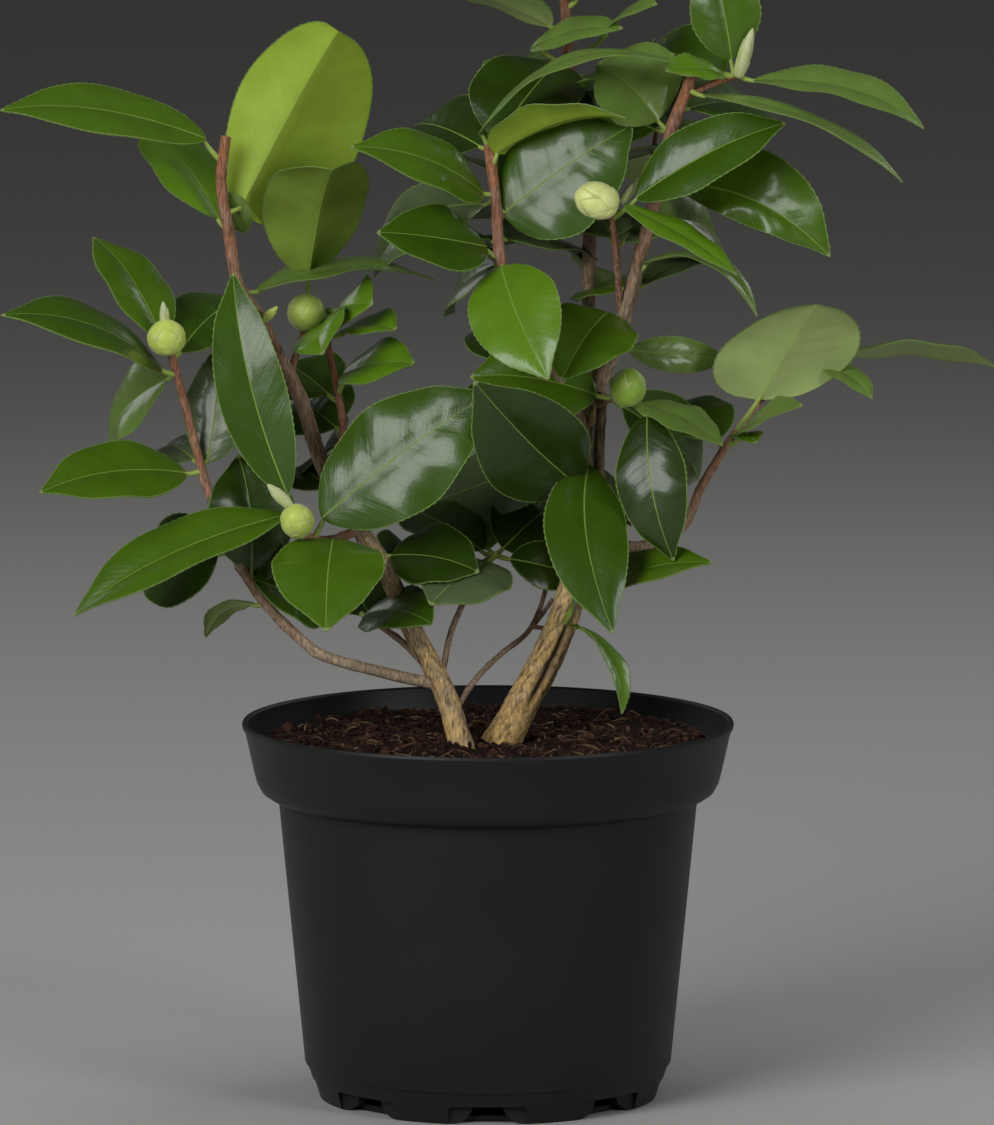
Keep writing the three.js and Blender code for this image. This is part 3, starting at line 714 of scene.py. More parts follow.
# Painted shade: the fissures and the groove darken towards near-black brown.
split = add_node(tree, "Mix", {0: crevice_shade, 6: lit_cork, 7: linear("#33210f")}, 2,
                 data_type="RGBA")
bump = add_node(tree, "Bump", {"Strength": 0.6, "Distance": 0.25 * MM, "Height": fleck})
set_sockets(surface, {"Base Color": split, "Roughness": 0.78, "Specular IOR Level": 0.35,
                      "Normal": bump})

# A pruning cut a season old: dry pale wood, darker at its heart.
cut_wood = mottled_material("cut_wood", linear("#6d4a2c"), linear("#b58a5c"), 1.2 * MM, 2,
                            {"Roughness": 0.85})

for name, start, sides in (("trunks", "trunk", 44), ("boughs", "bough", 22)):
    pile = Pile()
    grown = [limb for limb in limbs if limb.startswith(start)]
    for limb in grown:
        bark(pile, limb, 1.1 * MM, sides)
    wood = pile.make(name, [stem_bark, cut_wood])
    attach(wood, "root")
    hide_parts(*grown)

# ---------------------------------------------------------------- leaves
# Camellia leaves: thick, leathery and toothed, with a waxed upper side, a paler dull
# underside, a keel along the midrib and a short stalk. Each springs from a node on its limb.

LEAF_THICK = 0.42 * MM
STALK = 6.5 * MM
STALK_SAG = 0.6 * MM
STALK_THICK = np.linspace(1.25, 0.75, 7) * MM    # radii, from limb to blade
TOOTH = 0.36 * MM                # how far a tooth stands out
MARGIN = 0.26 * MM               # the pale edge
RIB_HALF = 0.36 * MM             # half the midrib's width at the foot
KEEL = 0.55 * MM                 # how far the midrib stands out below
TIP_HALF = 0.3 * MM
ROW_STEP = 1.35 * MM             # half the spacing of the teeth
DRIP_START = 0.78                # where the outline begins to draw out, in leaf lengths
DRIP_LENGTH = 0.22
PALE_DRIP = 0.3                  # only a drawn-out tip turns pale
VEIN_PAIRS = 7
VEINLET = 3.2 * MM               # the streaks that run beside the side veins
VEINLET_LENGTH = 16 * MM
VEIN_SLANT = 0.17                # how far a side vein runs forward, as a share of the length

# Painted light and shade: the upper tints step from dark to fresh and the undersides from dim to
# lit, and each leaf's step was picked for the light at its place as well as for its own tone.
UPPER_SIDES = {"dark": "#283f06", "deep": "#385508", "green": "#47670b", "fresh": "#5d8416",
               "soft": "#647f36", "grey": "#53633f"}
# Grey is a green whitened to stand in for a painted sheen, and soft is a paler step of painted
# light.
UNDERSIDES = {"lit": "#9ab53c", "sage": "#94a765", "olive": "#7b9337", "dim": "#4b5a2d"}
LEAF_TINTS = {**UPPER_SIDES, **UNDERSIDES, "upper_rib": "#7c9840", "lower_rib": "#9ab055",
              "margin": "#6c8742", "tip": "#82935a"}
FINISH = {name: i for i, name in enumerate(LEAF_TINTS)}

# Living leaf under a wax cuticle: dark chlorophyll green with a clear coat that takes crisp
# reflections of the soft boxes, over a net of veins that ripples them.
leaf_materials = []
# Each tint gets its own material, so the steps of painted light and shade each have one.
for name, colour in LEAF_TINTS.items():
    upper = name in UPPER_SIDES
    leaf, tree, surface, place = new_material("waxed_leaf_" + name)
    patches = add_node(tree, "TexNoise", {"Scale": 1 / (14 * MM), "Detail": 3, "Vector": place})
    run = add_node(tree, "Attribute", {}, "Fac", attribute_name="vein_run")
    out = add_node(tree, "Attribute", {}, "Fac", attribute_name="vein_reach")
    vein = add_node(tree, "CombineXYZ", {"X": run, "Y": out})
    streaks = add_node(tree, "TexNoise", {"Scale": 1, "Detail": 2.5, "Vector": vein},
                       noise_dimensions="2D")
    mottle = add_node(tree, "Mix", {0: 0.22, 2: patches, 3: streaks}, data_type="FLOAT")
    tint = add_node(tree, "Mix", {0: mottle, 6: linear(colour, 0.72), 7: linear(colour, 1.22)},
                    2, data_type="RGBA")
    net = add_node(tree, "TexVoronoi", {"Scale": 1 / (1.6 * MM), "Vector": place},
                   feature="DISTANCE_TO_EDGE")
    ripple = add_node(tree, "TexNoise", {"Scale": 1 / (5 * MM), "Detail": 2, "Vector": place})
    uneven = add_node(tree, "Math", {0: ripple, 1: 2.2, 2: net}, operation="MULTIPLY_ADD")
    height = add_node(tree, "Math", {0: streaks, 1: 3.2 if upper else 1.6, 2: uneven},
                      operation="MULTIPLY_ADD")
    bump = add_node(tree, "Bump", {"Strength": 0.5, "Distance": 0.12 * MM, "Height": height})
    set_sockets(surface, {"Base Color": tint, "Roughness": 0.36 if upper else 0.55,
                          "Specular IOR Level": 0.36 if upper else 0.25, "Normal": bump})
    if upper:
        set_sockets(surface, {"Coat Weight": 0.3, "Coat Roughness": 0.14})
    leaf_materials.append(leaf)


def sheet_faces(rows, columns, first=0):
    """The four-cornered faces between the points of a grid."""
    i, j = np.meshgrid(np.arange(rows - 1), np.arange(columns - 1), indexing="ij")
    corner = (first + i * columns + j).ravel()
    return np.stack([corner, corner + 1, corner + columns + 1, corner + columns], -1)


def shell(pile, upper, lower, upper_finish, lower_finish, edge_finish, marks=0):
    """A closed thin sheet between two grids of points, with its edges walled."""
    rows, columns = upper.shape[:2]
    above = sheet_faces(rows, columns)
    below = rows * columns
    rim = np.concatenate([
        np.arange(columns - 1),
        np.arange(rows - 1) * columns + columns - 1,
        (rows - 1) * columns + np.arange(columns - 1, 0, -1),
        np.arange(rows - 1, 0, -1) * columns])
    ahead = np.roll(rim, -1)
    wall = np.stack([rim + below, ahead + below, ahead, rim], -1)
    pile.add(np.concatenate([upper, lower]), [
        (above, np.resize(upper_finish, len(above))),
        (above[:, ::-1] + below, np.resize(lower_finish, len(above))),
        (wall, edge_finish)], np.tile(np.broadcast_to(marks, (below, 2)), (2, 1)))


VEIN_MARKS = ("vein_run", "vein_reach")


def outline(t, widest, full, drip):
    """The half width of a leaf along its length, from 0 to 1: oval, with a drip tip."""
    bow = np.sin(math.pi * t ** (math.log(0.5) / math.log(widest))) ** full
    late = np.clip((t - DRIP_START) / DRIP_LENGTH, 0, 1)
    return bow * (1 - drip * late * late * (3 - 2 * late))


# The words for a leaf's form. Arch, droop and sweep bend it up, down at the tip and sideways, in
# lengths. Fold and cup lift its halves and twist turns them, in degrees. Wave ripples the edge,
# with its waves and phase. Widest, full and drip shape the outline. Quilt is how far the skin
# swells between veins, in millimetres. Lop and skew make the halves unequal, and lead is the way
# from the node to where the blade starts, in millimetres, for a stalk that bends.
def blade(pile, foot, reach, width, face, colours, fine=True, arch=0.06, droop=0.06, fold=14,
          cup=-10, twist=0, sweep=0, wave=0.05, waves=2.2, phase=0.0, widest=0.45, full=0.72,
          drip=0.35, quilt=0.4, stalk=STALK, lead=None, lop=0, skew=0):
    """A leaf blade, toothed, keeled and quilted by its veins, and its stalk."""
    limb_foot = np.asarray(foot, float)
    tip = limb_foot + reach
    foot = limb_foot + (unit(reach) * stalk if lead is None else np.array(lead) * MM)
    length = np.linalg.norm(tip - foot)
    along = (tip - foot) / length
    upper = unit(np.asarray(face, float) - along * np.dot(face, along))
    side = np.cross(along, upper)

    # The midrib's line, and the ways along, across and up from it at each row.
    rows = int(np.clip(round(length / ROW_STEP), 16, 62)) if fine else 18
    t = np.linspace(0, 1, rows + 1)[:, None]
    rise = length * (arch * 4 * t * (1 - t) + droop * (t - t ** 4))
    bend = length * sweep * 4 * t * (1 - t)
    centre = foot + along * (t * length) + upper * rise + side * bend
    tangent = unit(np.gradient(centre, axis=0))
    normal = unit(upper - tangent * (tangent @ upper)[:, None])
    roll = np.radians(twist) * (t - 0.35)
    across = np.cross(tangent, normal) * np.cos(roll) + normal * np.sin(roll)
    normal = np.cross(across, tangent)

    # Where each point of a row lies between the midrib, 0, and the edges, -1 and 1.
    half = np.maximum(width / 2 * outline(t, widest, full, drip), TIP_HALF)
    rib = np.minimum(RIB_HALF * (1 - 0.65 * t) / half, 0.3)
    edge = np.maximum(1 - MARGIN / half, 0.55)
    inner = [0.16, 0.36, 0.58, 0.8] if fine else [0.5]
    right = np.hstack([rib, *[rib + (edge - rib) * s for s in inner], edge, np.ones_like(t)])
    place = np.hstack([-right[:, ::-1], right])
    out = np.abs(place)
    hand = np.sign(place)

    # How far each point stands sideways and up, and so the upper and the lower skin.
    tilt = np.radians(fold) + np.radians(cup) * out ** 1.5
    spread = half * place
    teeth = TOOTH * (np.arange(rows + 1)[:, None] % 2) * ((t > 0.1) & (t < 0.97))
    spread[:, [0, -1]] += teeth * (-1, 1)
    beat = math.tau * (waves * t + phase + 0.22 * hand)
    veins = np.abs(np.sin(math.pi * VEIN_PAIRS * (t - VEIN_SLANT * out)))
    pillow = quilt * MM * veins ** 0.7 * np.sin(math.pi * out ** 0.75)
    lift = (np.abs(spread) * np.sin(tilt) + wave * half * out ** 2 * np.sin(beat)
            + pillow * np.sin(math.pi * t))
    spread = spread * (1 + lop * hand)
    skin = (centre[:, None] + across[:, None] * (spread * np.cos(tilt))[..., None]
            + tangent[:, None] * (spread * skew)[..., None] + normal[:, None] * lift[..., None])
    strips = place.shape[1] - 1
    middle = strips // 2
    keel = np.zeros_like(place)
    keel[:, middle:middle + 2] = KEEL * (1 - 0.7 * t)
    under = skin - normal[:, None] * (LEAF_THICK + keel)[..., None]

    # Each face's finish, and the marks that the vein pattern reads.
    finishes = []
    for colour, rib_finish in zip(colours.split(), ("upper_rib", "lower_rib")):
        finish = np.full((rows, strips), FINISH[colour])
        finish[:, [0, -1]] = FINISH["margin"]
        finish[:, middle] = FINISH[rib_finish]
        if fine and drip >= PALE_DRIP:
            finish[-1] = FINISH["tip"]
        finishes.append(finish)
    vein_run = (t - VEIN_SLANT * out) * length / VEINLET
    vein_reach = np.abs(spread) / VEINLET_LENGTH + 7 * hand + 900 * np.sum(limb_foot)
    veined = np.stack([vein_run, vein_reach], -1).reshape(-1, 2)
    shell(pile, skin, under, *finishes, FINISH["margin"], veined)

    # The stalk, from inside the limb to just inside the blade.
    climb = np.linspace(0, 1, len(STALK_THICK))[:, None]
    stalk_end = foot - normal[0] * LEAF_THICK * 0.6 + along * 1.5 * MM
    stalk_path = limb_foot + (stalk_end - limb_foot) * climb
    stalk_path = stalk_path - upper * np.sin(math.pi * climb) * STALK_SAG
    pile.add_tube(stalk_path, STALK_THICK, 8, FINISH["lower_rib"])
    return skin


GLEAM = (-0.29, -0.91, 0.28)     # a side that looks this way mirrors the front box

# Each mass: its limb, then its leaves. A leaf is its place along the limb from 0 to 1, its
# reach and width, where its upper side looks, its two colours and what is odd in its form.
# A leaf's two colours carry painted light and shade besides its own tone: darker steps where its
# place is in shade, paler ones where it catches light.
LEAVES = {
    "left_top": ("bough_left", [
        (0.94, (-84, -14, 21), 31, (0, -0.52, 0.85), "green olive",
         dict(arch=0.04, lead=(-6, -1, 9), fold=12, twist=0)),
        (0.9, (9, 12, -22), 11, GLEAM, "soft sage", dict(twist=0, fold=8))]),
    "left_crest": ("bough_left", [
        (0.82, (43.5, -9, 70.5), 59, (-0.1, 0.8, 0.45), "fresh lit",
         dict(full=0.45, drip=0.05, widest=0.5, fold=31, quilt=0.3, sweep=-0.02, twist=0,
              lop=-0.32, skew=0.2, lead=(5, 3, 0.5))),
        (0.78, (-35, 36, 35), 36, (0.7, -0.75, 0.2), "fresh olive", dict(fold=12, twist=0))]),
    "left_arch": ("bough_left", [
        (0.63, (74, 25, 2), 30, (0, -0.1, 1), "soft sage")]),
    "left_bud_leaf": ("twig_left_bud", [
        (0.98, (11, -44, 65), 44, (-0.2, 0.8, 0.5), "fresh olive",
         dict(full=0.5, drip=0, widest=0.5, twist=0, fold=32, lead=(1, -4, 20)))]),
    "left_tip": ("bough_left_low", [
        (0.99, (-31, 35, 41), 29, (0.5, -0.55, 0.65), "green olive", dict(fold=14, twist=0)),
        (0.98, (28, 61, 15), 32, (0, -0.6, 0.8), "deep olive", dict(twist=0)),
        (0.94, (-65, -32, 26), 35, (0.15, -0.4, 0.9), "deep olive", dict(arch=0.1, twist=0)),
        (0.95, (-27, 33, -31), 32, (-0.5, -0.6, 0.6), "soft sage")]),
    "left_side": ("bough_left_low", [
        (0.72, (-61, -28, -5), 31, (0, -0.65, 0.75), "green olive"),
        (0.73, (6, 14, 45), 26, GLEAM, "grey olive",
         dict(fold=5, arch=0.03, droop=0.04, sweep=0.05, twist=0, lead=(2, 1, 1))),
        (0.74, (-15, 36, 1), 26, (-0.3, -0.3, 0.9), "grey dim")]),
    "left_inner": ("bough_left_low", [
        (0.54, (-36, 20, -13), 40, (-0.2, -0.8, 0.5), "dark dim"),
        (0.45, (-6, 10, 50), 36, (0.35, -0.85, 0.45), "dark dim")]),
    "left_low": ("bough_left_low", [
        (0.42, (0, 14, 26), 22, (-0.4, -0.8, 0.4), "dark dim"),
        (0.47, (30, 16, -19), 30, (0, -0.6, 0.75), "deep olive", dict(lead=(2, 0, 0))),
        (0.41, (-23, 5, -14), 16, (0, 0.3, 0.9), "soft sage", dict(arch=0.16, lead=(-4, 0, 0)))]),
    "front_left": ("twig_front_bud", [
        (0.98, (-85, -20, -29), 32, (-0.2, -0.5, 0.85), "green olive", dict(lead=(-5, 0, 7))),
        (0.98, (-25, 20, 98), 27, (-0.1, -0.96, 0.26), "deep olive",
         dict(lead=(-4, 0, 15), fold=12, cup=0, twist=0, sweep=-0.035))]),
    "front_right": ("twig_front_bud", [
        (0.6, (2, -52, -28), 43, (0, -0.5, 0.85), "green olive", dict(lead=(4, -4, 1))),
        (0.74, (68, -6, 57), 46, (-0.3, -0.9, 0.28), "deep olive",
         dict(quilt=0.75, wave=0.07, fold=6, arch=0.03, droop=0.04, twist=0, lead=(3, -2, 8)))]),
    "low_left": ("twig_low_left", [
        (0.98, (27, -42, 2), 28, (0.1, -0.75, 0.65), "deep olive",
         dict(sweep=-0.03, drip=0.1, lead=(1, -10, 1))),
        (0.8, (-16, 44, 14), 32, (0, -0.4, 0.9), "dark dim")]),
    "fork_left": ("trunk_left", [
        (0.88, (40, -14, -6), 34, (0, -0.6, 0.8), "dark dim"),
        (0.84, (21, 40, -14), 36, (0, -0.7, 0.7), "dark dim")]),
    "low_middle": ("twig_low_middle", [
        (0.98, (-25, -40, -14), 38, (-0.3, -0.85, 0.4), "grey olive"),
        (0.96, (-36, 37, 14), 30, (0, -0.4, 0.9), "dark dim"),
        (0.98, (19, 38, 12), 32, (0, -0.9, 0.3), "dark dim"),
        (0.98, (-17, 36, 10), 26, (0.2, -0.8, 0.5), "green dim"),
        (0.98, (33, 18, -12), 20, (0, -0.8, 0.5), "dark dim")]),
    "red_twig": ("twig_red", [
        (0.99, (18, -23, 5), 28, (-0.3, -0.6, 0.7), "fresh olive"),
        (0.97, (-1, -41, -11), 26, (-0.6, -0.5, 0.6), "fresh olive"),
        (0.85, (27, -20, 4), 26, (0, -0.3, 1), "fresh olive")]),
    "middle": ("twig_red", [
        (0.5, (30, -22, 14), 28, (0.2, -0.6, 0.75), "fresh sage", dict(lead=(1, -3, 7))),
        (0.45, (-21, 21, 12), 34, (0, -0.5, 0.85), "deep dim"),
        (0.26, (-17, 36, 9), 34, (-0.3, -0.5, 0.8), "deep dim"),
        (0.23, (-10, 30, -16), 32, (0, -0.7, 0.6), "dark dim")]),
    "trunk_front": ("trunk_right", [
        (0.8, (-45, -48, 36), 42, (0.35, -0.8, -0.4), "dark dim",
         dict(lead=(-6, -9, -8), lop=-0.04, twist=0)),
        (0.82, (8, -54, -63), 32, (0.1, -0.85, 0.5), "deep olive",
         dict(sweep=0.08, twist=0, lead=(-1, -7, -4))),
        (0.84, (-62, 34, -27), 28, GLEAM, "grey sage", dict(twist=0, fold=8))]),
    "trunk_side": ("trunk_right", [
        (0.44, (54, -31, 17), 24, (0, -0.55, 0.85), "green olive"),
        (0.46, (30, 33, 12), 28, (0, -0.2, 0.95), "dark dim"),
        (0.38, (22, -50, -30), 14, (0.65, -0.25, 0.7), "fresh olive",
         dict(fold=24, arch=0.08, lead=(5, -6, -2))),
        (0.37, (4, -20, 14), 12, (0.3, -0.8, 0.5), "fresh olive", dict(stalk=3 * MM))]),
    "bud_front": ("twig_right_bud", [
        (0.93, (19, -15, -62), 28, (-0.29, -0.91, 0.24), "dark dim",
         dict(fold=4, arch=0.12, twist=0, lead=(9, -2, -7))),
        (0.97, (37, -20, -17), 24, (0, -0.2, 1), "soft olive")]),
    "bud_back": ("twig_right_bud", [
        (0.62, (-55, 0, 8), 38, (0.1, -0.75, 0.65), "green olive"),
        (0.6, (34, 36, -36), 34, (0.3, -0.8, 0.5), "deep dim"),
        (0.64, (21, 52, -17), 30, (0.2, -0.5, 0.8), "dark dim")]),
    "centre_front": ("bough_centre", [
        (0.65, (18, -44, -40), 36, (-0.35, -0.7, 0.7), "fresh olive",
         dict(lead=(0, -4, -1), fold=16)),
        (0.66, (-18, 52, -26), 30, (-0.4, -0.6, 0.6), "grey dim")]),
    "centre_foot": ("bough_centre", [
        (0.25, (-35, 40, 14), 34, (0, -0.4, 0.9), "dark dim")]),
    "centre_low": ("bough_centre", [
        (0.66, (-47, -18, 12), 32, (0, -0.7, 0.7), "deep olive",
         dict(lead=(-5, -2, 5), sweep=-0.05)),
        (0.72, (-17, 56, -12), 34, (0, 0.6, 0.8), "deep dim"),
        (0.73, (35, 56, -18), 36, (0, -0.5, 0.85), "grey dim")]),
    "centre_high": ("bough_centre", [
        (0.85, (-55, -24, 20), 33, (0, -0.6, 0.8), "green olive",
         dict(lead=(-4, -1, 0), arch=0.1)),
        (0.84, (-47, 42, -35), 26, (-0.3, -0.8, 0.5), "grey dim", dict(sweep=0.12)),
        (0.81, (52, -4, 32), 49, GLEAM, "deep dim",
         dict(fold=6, arch=0.03, droop=0.04, quilt=0.7, widest=0.41, full=0.62, twist=0,
              lead=(2, 1, -3)))]),
    "centre_top": ("bough_centre", [
        (0.98, (-29, 44, 5), 40, (0, -0.8, 0.6), "dark dim"),
        (0.98, (28, 40, 30), 46, (-0.3, -0.8, 0.5), "dark olive")]),
    "centre_arch": ("bough_centre", [
        (0.99, (71, -16, 33), 26, (0, -0.15, 1), "soft sage",
         dict(lead=(-4, 0, 4), arch=0.16)),
        (0.93, (51, -29, 21), 33, (-0.15, 0.45, 0.9), "green lit",
         dict(lead=(1, 0, 5), fold=20, arch=0.08, widest=0.34, twist=0))]),
    "right_foot": ("bough_right", [
        (0.13, (44, 18, -6), 14, (0.38, -0.9, 0.22), "soft dim", dict(fold=6, twist=0)),
        (0.2, (-23, -44, -16), 38, (0.1, -0.5, 0.85), "green olive", dict(lead=(-5, -4, 6)))]),
    "right_side": ("bough_right", [
        (0.33, (-21, 28, -9), 24, (0, -0.4, 0.9), "green dim"),
        (0.32, (28, 28, 7), 14, (0, -0.3, 0.95), "grey dim"),
        (0.36, (46, -35, -12), 15, (0.2, -0.2, 0.95), "soft sage",
         dict(arch=0.18, lead=(3, -2, 5)))]),
    "bud_top": ("twig_centre_bud", [
        (0.95, (47, -31, -19), 20, (0.1, -0.2, 1), "fresh sage",
         dict(lead=(5, -2, 5), arch=0.02)),
        (0.93, (66, -4, 37), 29, (-0.1, -0.75, 0.65), "deep olive", dict(lead=(9, 0, 8))),
        (0.65, (15, 30, 6), 26, (0, -0.5, 0.85), "grey dim")]),
    "right_back": ("bough_right", [
        (0.55, (27, 46, -15), 28, (0.2, -0.8, 0.5), "soft dim"),
        (0.64, (65, -15, -26), 29, GLEAM, "green dim",
         dict(wave=0.14, fold=10, quilt=0.8, sweep=-0.1, lop=-0.32, twist=0, lead=(7, 12, -1)))]),
    "right_inner": ("bough_right", [
        (0.8, (-28, 6, 26), 44, (0.5, -0.8, 0.35), "soft dim", dict(fold=26, twist=0)),
        (0.8, (-11, 52, 18), 34, (-0.2, -0.8, 0.6), "grey dim"),
        (0.8, (-49, 26, 8), 26, (-0.25, -0.85, 0.4), "deep dim")]),
    "right_top": ("bough_right", [
        (0.88, (36, 50, -9), 38, (0, -0.6, 0.8), "deep dim"),
        (0.94, (81, -33, -33), 18, (0.1, -0.1, 1), "soft sage")]),
    "top": ("twig_top", [
        (0.98, (70, -28, -18), 24, (0.2, -0.42, 0.9), "soft sage",
         dict(arch=0.05, droop=0.11, twist=0)),
        (0.97, (-35, 34, 5), 28, (0, -0.8, 0.6), "deep dim"),
        (0.93, (-10, 4, 47), 28, (0.1, -0.8, 0.5), "green sage"),
        (0.98, (-28, -18, 3), 18, (0, -0.5, 0.85), "fresh lit")]),
    "crown_fold": ("bough_grey", [
        (0.75, (20, -34, 18), 17, (0, -0.6, 0.8), "soft olive",
         dict(lead=(-15, -12, 9), arch=0.06, widest=0.4, full=0.6, twist=0)),
        (0.76, (33, -40, 26), 18, (0.2, -0.6, 0.75), "soft olive", dict(lead=(13, -16, 12)))]),
    "crown_top": ("bough_grey", [
        (0.84, (-56, -28, 17), 34, (0, 0.3, 1), "green sage"),
        (0.89, (28, -22, 28), 32, (0, -0.5, 0.85), "green olive"),
        (0.97, (-18, 10, 24), 28, (0, -0.5, 0.85), "fresh olive"),
        (0.98, (9, -20, 28), 28, (0, -0.5, 0.85), "fresh olive")]),
    "right_end": ("bough_right_low", [
        (0.66, (31, -9, 51), 48, (-0.1, 0.95, 0.3), "green sage",
         dict(full=0.48, drip=0, fold=6, skew=-0.5, wave=0.02, twist=0, lead=(9, 0, 13))),
        (0.62, (28, -33, 19), 22, (-0.1, -0.5, 0.85), "soft olive"),
        (0.61, (-20, 33, 13), 30, (0, -0.5, 0.85), "deep dim")]),
    "right_far": ("bough_right_low", [
        (0.98, (75, 24, -7), 32, (0, 0.3, 1), "soft sage", dict(twist=0, fold=8)),
        (0.98, (24, -21, -14), 14, (0.5, -0.6, 0.6), "soft olive")]),
}
# Small leaves behind those, which carry no solid of their own.
LEAVES_BEHIND = [
    ("bough_left", 0.10, (-19, 38, 3), 30, (0, -0.5, 0.85), "dark dim"),
    ("bough_right", 0.55, (20, 56, -24), 28, (0.2, -0.7, 0.6), "grey dim"),
    ("bough_right_low", 0.655, (8, -28, 0), 12, (0, -0.4, 0.9), "green olive"),
    ("bough_grey", 0.30, (7, 40, -16), 26, (0.1, -0.6, 0.7), "soft olive"),
    ("twig_centre_bud", 0.65, (-6, 20, 10), 24, (0, -0.6, 0.7), "grey dim"),
]
BOUGH_GROUPS = {                 # a joined piece of leaves: the masses that it stands for
    "leaves_left": ("left",),
    "leaves_low": ("front", "low", "fork", "red", "middle"),
    "leaves_centre": ("trunk", "bud_front", "bud_back", "centre"),
    "leaves_right": ("right", "bud_top"),
    "leaves_top": ("top", "crown"),
}
vary = random.Random(23)
placed = []


def plant(pile, limb_name, at, reach, width, face, colours, **form):
    """Grows a leaf from its place on a limb."""
    placed.append(blade(pile, limbs[limb_name].at(at), np.array(reach) * MM, width * MM, face,
                        colours, **form))


for group, starts in BOUGH_GROUPS.items():
    pile = Pile(VEIN_MARKS)
    masses = [mass for mass in LEAVES if mass.startswith(starts)]
    for limb_name, rows in map(LEAVES.get, masses):
        for at, reach, width, face, colours, *odd in rows:
            habit = {"phase": vary.random(), "twist": vary.uniform(-14, 14),
                     "sweep": vary.uniform(-0.03, 0.03), "waves": vary.uniform(1.6, 2.8),
                     "fold": vary.uniform(10, 20)}
            for form in odd:
                habit.update(form)
            plant(pile, limb_name, at, reach, width, face, colours, **habit)
    if group == "leaves_right":
        for row in LEAVES_BEHIND:
            plant(pile, *row, phase=vary.random(), twist=vary.uniform(-20, 20))
    leaves = pile.make(group, leaf_materials, 50)
    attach(leaves, "root")
    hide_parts(*["mass_" + mass for mass in masses])

# ---------------------------------------------------------------- back of the crown
# Shoots grow to the back as well, each with leaves in turn round it by the bud spiral. A shoot
# or a leaf fails where the front leaves would not shade it, so that the crown's gaps stay open.

BUD_SPIRAL = math.radians(137.5)
LEAF_SPREAD = math.radians(52)
SHOOT_SPACING = 13 * MM
SHOOT_TRIES = 5                  # for each place along a limb
SHOOT_LEAVES = 5
SHOOT_STEPS = 11
HIDDEN = 0.99                    # the share that the front leaves have to shade
SHOOT_LIMBS = {                  # from and to, as shares of the limb
    "trunk_right": (0.55, 1.0), "trunk_left": (0.75, 1.0), "bough_left": (0.05, 0.98),
    "bough_left_low": (0.3, 0.98), "bough_centre": (0.1, 0.98), "bough_grey": (0.08, 0.98),
    "bough_right": (0.08, 0.98), "bough_right_low": (0.1, 0.9)}
LEAF_ROOM = 19 * MM              # between the middles of two leaves
BOX_MARGIN = 2 * MM
SHOOT_AGE = (0.15, 0)            # its bark's age and painted crevice shade
SHOOT_BUD = 9 * MM

screen_faces = []
first = 0
for skin in placed:
    screen_faces.append(sheet_faces(*skin.shape[:2], first))
    first += skin.shape[0] * skin.shape[1]
screen_points = np.concatenate([skin.reshape(-1, 3) for skin in placed])
screen = BVHTree.FromPolygons(screen_points.tolist(), np.concatenate(screen_faces).tolist())
box_low = np.array(cad_low) + BOX_MARGIN
box_high = np.array(cad_high) - BOX_MARGIN


def shaded(points):
    """The share of the points that the front leaves hide."""
    hits = [screen.ray_cast(Vector(p), CAMERA_PLACE - Vector(p))[0] for p in points]
    return sum(hit is not None for hit in hits) / len(hits)


def turned(vector, axis, angle):
    """A vector turned about a unit axis."""
    return (vector * math.cos(angle) + np.cross(axis, vector) * math.sin(angle)
            + axis * np.dot(axis, vector) * (1 - math.cos(angle)))


